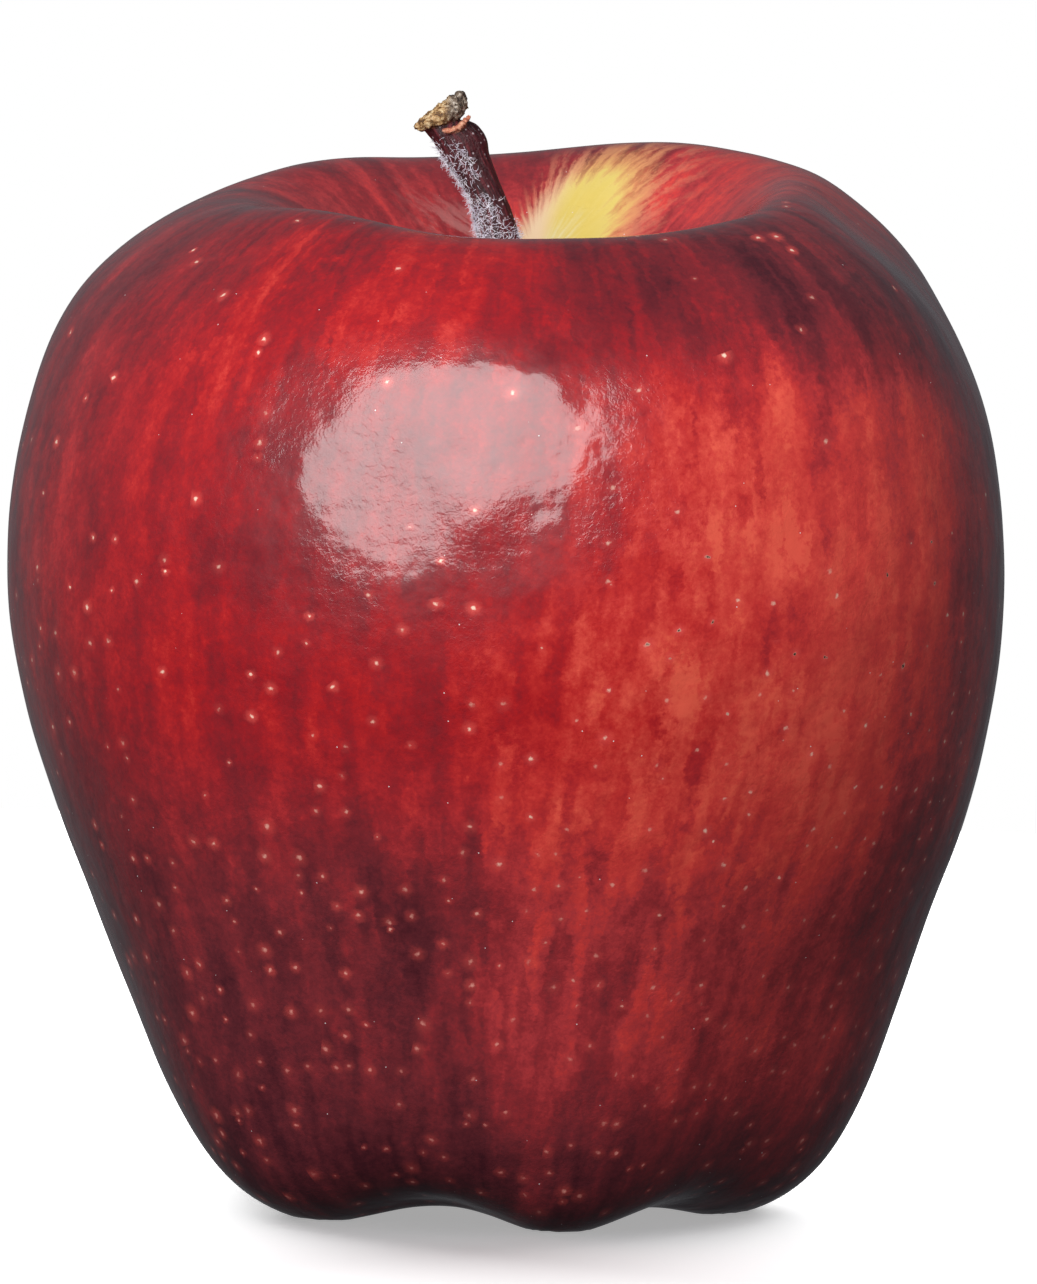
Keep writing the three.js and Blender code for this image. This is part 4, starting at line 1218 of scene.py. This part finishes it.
in_place = add(sepal_tree, "GeometryNodeTransform", {
    "Geometry": crinkled, "Translation": tuple(c * MM for c in EYE_MIDDLE),
})
close_tree(sepal_tree, add(sepal_tree, "GeometryNodeSetShadeSmooth", {"Geometry": in_place}), size["Leaf"])
sepals = grow("dried_sepals", sepal_seed, sepal_tree, SEPAL_SIZES)
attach(sepals, "root")
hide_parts("sepal_1", "sepal_2", "sepal_3", "sepal_4", "sepal_5")

# %% Wool on the sepals
wool_seed = seed_copy(sepals)
woolly = wool_seed.data.attributes.new("woolly", "FLOAT", "POINT")
woolly.data.foreach_set("value", np.full(len(wool_seed.data.vertices), 1.0))
WOOL_SIZES = {
    "Hairs per mm2": 7.0, "Length": 0.8, "Thickness": 0.04, "Least lean": 0.3, "Most lean": 1.4, "Seed": 21,
    "Down": DOWN,
}
sepal_wool = grow("sepal_wool", wool_seed, down_tree("sepal wool", WOOL_SIZES), WOOL_SIZES)
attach(sepal_wool, "root")

# %% [markdown]
# The stamens stand on the rim of a short tube that runs up into the core. The tube is a lathed profile.
# Geometry Nodes place the stamens round it: each is a thin thread, bent outwards, with the
# shrivelled anther as a small bead at its end.

# %% Stamens
THREADS = bpy.data.materials.new("withered_stamens")
TUBE = [(0.6, 2.6), (0.62, 0.4), (0.72, 0.0), (0.62, -0.6), (0.5, -1.6), (0.42, -2.2)]
tube_line = np.array([(0, 0, z) for _, z in TUBE], dtype=float)
tube_half = np.array([r for r, _ in TUBE])
tube_seed = object_from("tube_seed", tube_points(
    tube_line, np.outer(tube_half, [1, 0, 0]), np.outer(
        tube_half, [0, -1, 0],
    ), 20) * MM, tube_faces(len(TUBE), 20))
STAMEN_SIZES = {
    "Count": 18, "Ring radius": 0.42, "Thread length": 2.5, "Thread thickness": 0.09, "Anther radius": 0.17,
    "Least lean": 0.02, "Most lean": 0.34, "Seed": 9, "Threads": THREADS,
}
stamen_tree, stamen_in = open_tree("stamens", STAMEN_SIZES)
size = stamen_in.outputs
ring_m = add(stamen_tree, "ShaderNodeMath", {0: size["Ring radius"], 1: MM}, operation="MULTIPLY")
rim = add(stamen_tree, "GeometryNodeMeshCircle", {"Vertices": size["Count"], "Radius": ring_m})
rim_down = add(stamen_tree, "GeometryNodeTransform", {"Geometry": rim, "Translation": (0, 0, -1.9 * MM)})
thread_end = add(stamen_tree, "ShaderNodeMath", {0: size["Thread length"], 1: -MM}, operation="MULTIPLY")
thread_end_at = add(stamen_tree, "ShaderNodeCombineXYZ", {"X": 0.4 * MM, "Z": thread_end})
thread_line = add(stamen_tree, "GeometryNodeCurveQuadraticBezier", {
    "Resolution": 5, "Start": (0, 0, 0), "Middle": (0, 0, -1.2 * MM), "End": thread_end_at,
})
thread_half = add(stamen_tree, "ShaderNodeMath", {
    0: size["Thread thickness"], 1: 0.5 * MM,
}, operation="MULTIPLY")
thread_section = add(stamen_tree, "GeometryNodeCurvePrimitiveCircle", {"Resolution": 5, "Radius": 1.0})
thread = add(stamen_tree, "GeometryNodeCurveToMesh", {
    "Curve": thread_line, "Profile Curve": thread_section, "Scale": thread_half, "Fill Caps": True,
})
anther_m = add(stamen_tree, "ShaderNodeMath", {0: size["Anther radius"], 1: MM}, operation="MULTIPLY")
bead = add(stamen_tree, "GeometryNodeMeshUVSphere", {"Segments": 7, "Rings": 5, "Radius": anther_m})
bead_down = add(stamen_tree, "GeometryNodeTransform", {
    "Geometry": bead, "Translation": thread_end_at, "Scale": (0.8, 0.8, 1.5),
})
stamen = add(stamen_tree, "GeometryNodeJoinGeometry", {"Geometry": thread})
stamen_tree.links.new(bead_down.outputs[0], stamen.inputs[0])
which = add(stamen_tree, "GeometryNodeInputIndex")
full_turn = add(stamen_tree, "ShaderNodeMath", {0: math.tau, 1: size["Count"]}, operation="DIVIDE")
facing = add(stamen_tree, "ShaderNodeMath", {0: which, 1: full_turn}, operation="MULTIPLY")
lean = add(stamen_tree, "FunctionNodeRandomValue", {
    "Min": size["Least lean"], "Max": size["Most lean"], "Seed": size["Seed"],
}, data_type="FLOAT")
outward_lean = add(stamen_tree, "ShaderNodeMath", {0: lean, 1: -1.0}, operation="MULTIPLY")
pose = add(stamen_tree, "ShaderNodeCombineXYZ", {"Y": outward_lean, "Z": facing})
seed_two = add(stamen_tree, "FunctionNodeIntegerMath", {0: size["Seed"], 1: 4}, operation="ADD")
own_scale = add(stamen_tree, "FunctionNodeRandomValue", {
    "Min": 0.6, "Max": 1.0, "Seed": seed_two,
}, data_type="FLOAT")
ringed = add(stamen_tree, "GeometryNodeInstanceOnPoints", {
    "Points": rim_down, "Instance": stamen, "Rotation": pose, "Scale": own_scale,
})
with_tube = add(stamen_tree, "GeometryNodeJoinGeometry", {"Geometry": ringed})
stamen_tree.links.new(size["Geometry"], with_tube.inputs[0])
placed = add(stamen_tree, "GeometryNodeTransform", {
    "Geometry": with_tube, "Translation": tuple(c * MM for c in EYE_MIDDLE),
})
close_tree(stamen_tree, add(stamen_tree, "GeometryNodeSetShadeSmooth", {"Geometry": placed}), size["Threads"])
stamens = grow("withered_stamens", tube_seed, stamen_tree, STAMEN_SIZES)
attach(stamens, "root")
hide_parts("stamens")

# %% Finish of the sepals and stamens
# Both are dead plant tissue: grey brown, dull and papery, with paler streaks that run like veins.
for material, dark, middle_tone, pale, vein_mm in (
    (LEAF, "#2f2417", "#6a5539", "#a8926a", 0.5), (THREADS, "#1d150e", "#46331f", "#7d6543", 0.3),
):
    look, shader = start_finish(material, Roughness=0.88, IOR=1.45)
    dry_place = add(look, "ShaderNodeVectorMath", {
        0: add(look, "ShaderNodeTexCoord").outputs["Object"], "Scale": MM_PER_M,
    }, operation="SCALE")
    veins = add(look, "ShaderNodeVectorMath", {
        0: dry_place, 1: (1 / vein_mm, 1 / vein_mm, 0.25 / vein_mm),
    }, operation="MULTIPLY")
    dry = add(look, "ShaderNodeTexNoise", {"Vector": veins, "Scale": 1.0, "Detail": 4.0, "Roughness": 0.65})
    dry_colour = set_ramp(
        add(look, "ShaderNodeValToRGB", {"Fac": dry}), [(0.3, dark), (0.5, middle_tone), (0.72, pale)],
    )
    look.links.new(dry_colour.outputs["Color"], shader.inputs["Base Color"])
    dry_bump = add(look, "ShaderNodeBump", {"Height": dry, "Distance": 0.1 * MM, "Strength": 1.0})
    look.links.new(dry_bump.outputs["Normal"], shader.inputs["Normal"])

# %% [markdown]
# ## The studio
#
# The apple was lit as a product is: one large soft box in front, a little to the left and above, whose
# shape lies on the skin as the big highlight. Two more boxes stand behind, left and right, and light
# the pale paper of the floor alone. They light it to white, and where their two shadows overlap lies
# the small soft shadow under the belly. The paper throws no light back on the fruit, so the belly
# stays dark, as it does over a raised sheet of glass. A weak box behind only shades the back.

# %% Floor
PAPER = bpy.data.materials.new("pale_studio_paper")
start_finish(
    PAPER, Base_Color=from_hex("#f4f4f4"), Roughness=0.9, Emission_Color=(1, 1, 1, 1), Emission_Strength=0.37,
)
# The floor lies a hair under the feet, so that their flats and the paper never share a plane.
FLOOR_RADIUS = 0.30
FLOOR_DROP = 0.05 * MM
bpy.ops.mesh.primitive_circle_add(
    vertices=96, radius=FLOOR_RADIUS, fill_type="NGON", location=(0, 0, -FLOOR_DROP),
)
floor = bpy.context.object
floor.name = "studio_floor"
floor.data.materials.append(PAPER)
floor.visible_diffuse = False
floor.visible_glossy = False

# %% Soft boxes
def soft_box(name, azimuth, elevation, distance, width, tall, radiance, shape="RECTANGLE"):
    """A light that faces the middle of the fruit. radiance is how bright its face is."""
    light = bpy.data.lights.new(name, "AREA")
    light.shape, light.size, light.size_y = shape, width, tall
    light.energy = radiance * math.pi * width * tall
    box = bpy.data.objects.new(name, light)
    bpy.context.scene.collection.objects.link(box)
    turn_to, lift_to = math.radians(azimuth), math.radians(elevation)
    out = Vector(
        (math.sin(turn_to) * math.cos(lift_to), -math.cos(turn_to) * math.cos(lift_to), math.sin(lift_to)),
    )
    middle = Vector((0, 0, 0.045))
    box.matrix_world = Matrix.Translation(
        middle + out * distance,
    ) @ out.to_track_quat("Z", "Y").to_matrix().to_4x4()
    box.visible_camera = False
    print(f"{name}: {width} x {tall} m, {light.energy:.2f} W")
    return box


# The front box lights the fruit. The two behind light the paper, as flags on stands would part them.
key_box = soft_box("key_box", -18.5, 29.5, 0.60, 0.74, 0.50, 5.6, "ELLIPSE")
# An ellipse has pi / 4 of the area that soft_box counts for a rectangle.
key_box.data.energy *= math.pi / 4
paper_left = soft_box("paper_box_left", 228, 35, 0.9, 0.7, 0.7, 8.5)
paper_right = soft_box("paper_box_right", 132, 35, 0.9, 0.7, 0.7, 7.5)
# A weak box behind only shades the back, which would else be lost in the dark. It has no reflection.
back_box = soft_box("back_box", 186, 6, 0.9, 0.5, 0.4, 4.0)
back_box.visible_glossy = False
for box, state in (
    (key_box, "EXCLUDE"), (back_box, "EXCLUDE"), (paper_left, "INCLUDE"), (paper_right, "INCLUDE"),
):
    lit = bpy.data.collections.new(f"lit_by_{box.name}")
    lit.objects.link(floor)
    lit.collection_objects[0].light_linking.link_state = state
    box.light_linking.receiver_collection = lit

# %% The room: white to look at, dim and greyer below to be lit by
world = bpy.data.worlds.new("studio_room")
bpy.context.scene.world = world
world.use_nodes = True
room = world.node_tree
room.nodes.clear()
direction = add(room, "ShaderNodeTexCoord").outputs["Generated"]
upward = add(room, "ShaderNodeSeparateXYZ", {"Vector": direction}).outputs["Z"]
walls = set_ramp(add(room, "ShaderNodeValToRGB", {
    "Fac": add(room, "ShaderNodeMapRange", {"Value": upward, "From Min": -1.0, "From Max": 1.0}),
}), [(0.0, "#2c2c2e"), (0.45, "#46464a"), (0.6, "#545459"), (1.0, "#56565c")])
# Two faint glows low behind the fruit, one on either side, give its outline a soft rim.
lit_walls = walls
for azimuth, level in ((150, 0.01), (208, 0.05)):
    wall_way = (math.sin(math.radians(azimuth)), -math.cos(math.radians(azimuth)), 0.08)
    to_wall = add(room, "ShaderNodeVectorMath", {
        0: direction, 1: wall_way,
    }, operation="DOT_PRODUCT").outputs["Value"]
    facing_wall = add(room, "ShaderNodeMapRange", {
        "Value": to_wall, "From Min": 0.60, "From Max": 1.0,
    }, interpolation_type="SMOOTHSTEP")
    wall_light = add(room, "ShaderNodeMix", {
        "Factor": facing_wall, "A": (0, 0, 0, 1), "B": (level, level, level, 1),
    }, data_type="RGBA")
    lit_walls = add(room, "ShaderNodeMix", {
        "Factor": 1.0, "A": lit_walls, "B": wall_light,
    }, data_type="RGBA", blend_type="ADD")
dim_room = add(room, "ShaderNodeBackground", {"Color": lit_walls, "Strength": 1.0})
white_paper = add(room, "ShaderNodeBackground", {"Color": (1, 1, 1, 1), "Strength": 1.0})
looked_at = add(room, "ShaderNodeLightPath").outputs["Is Camera Ray"]
either = add(room, "ShaderNodeMixShader", {0: looked_at, 1: dim_room, 2: white_paper})
add(room, "ShaderNodeOutputWorld", {"Surface": either})
bpy.context.scene.view_settings.view_transform = "Standard"
bpy.context.scene.view_settings.look = "None"
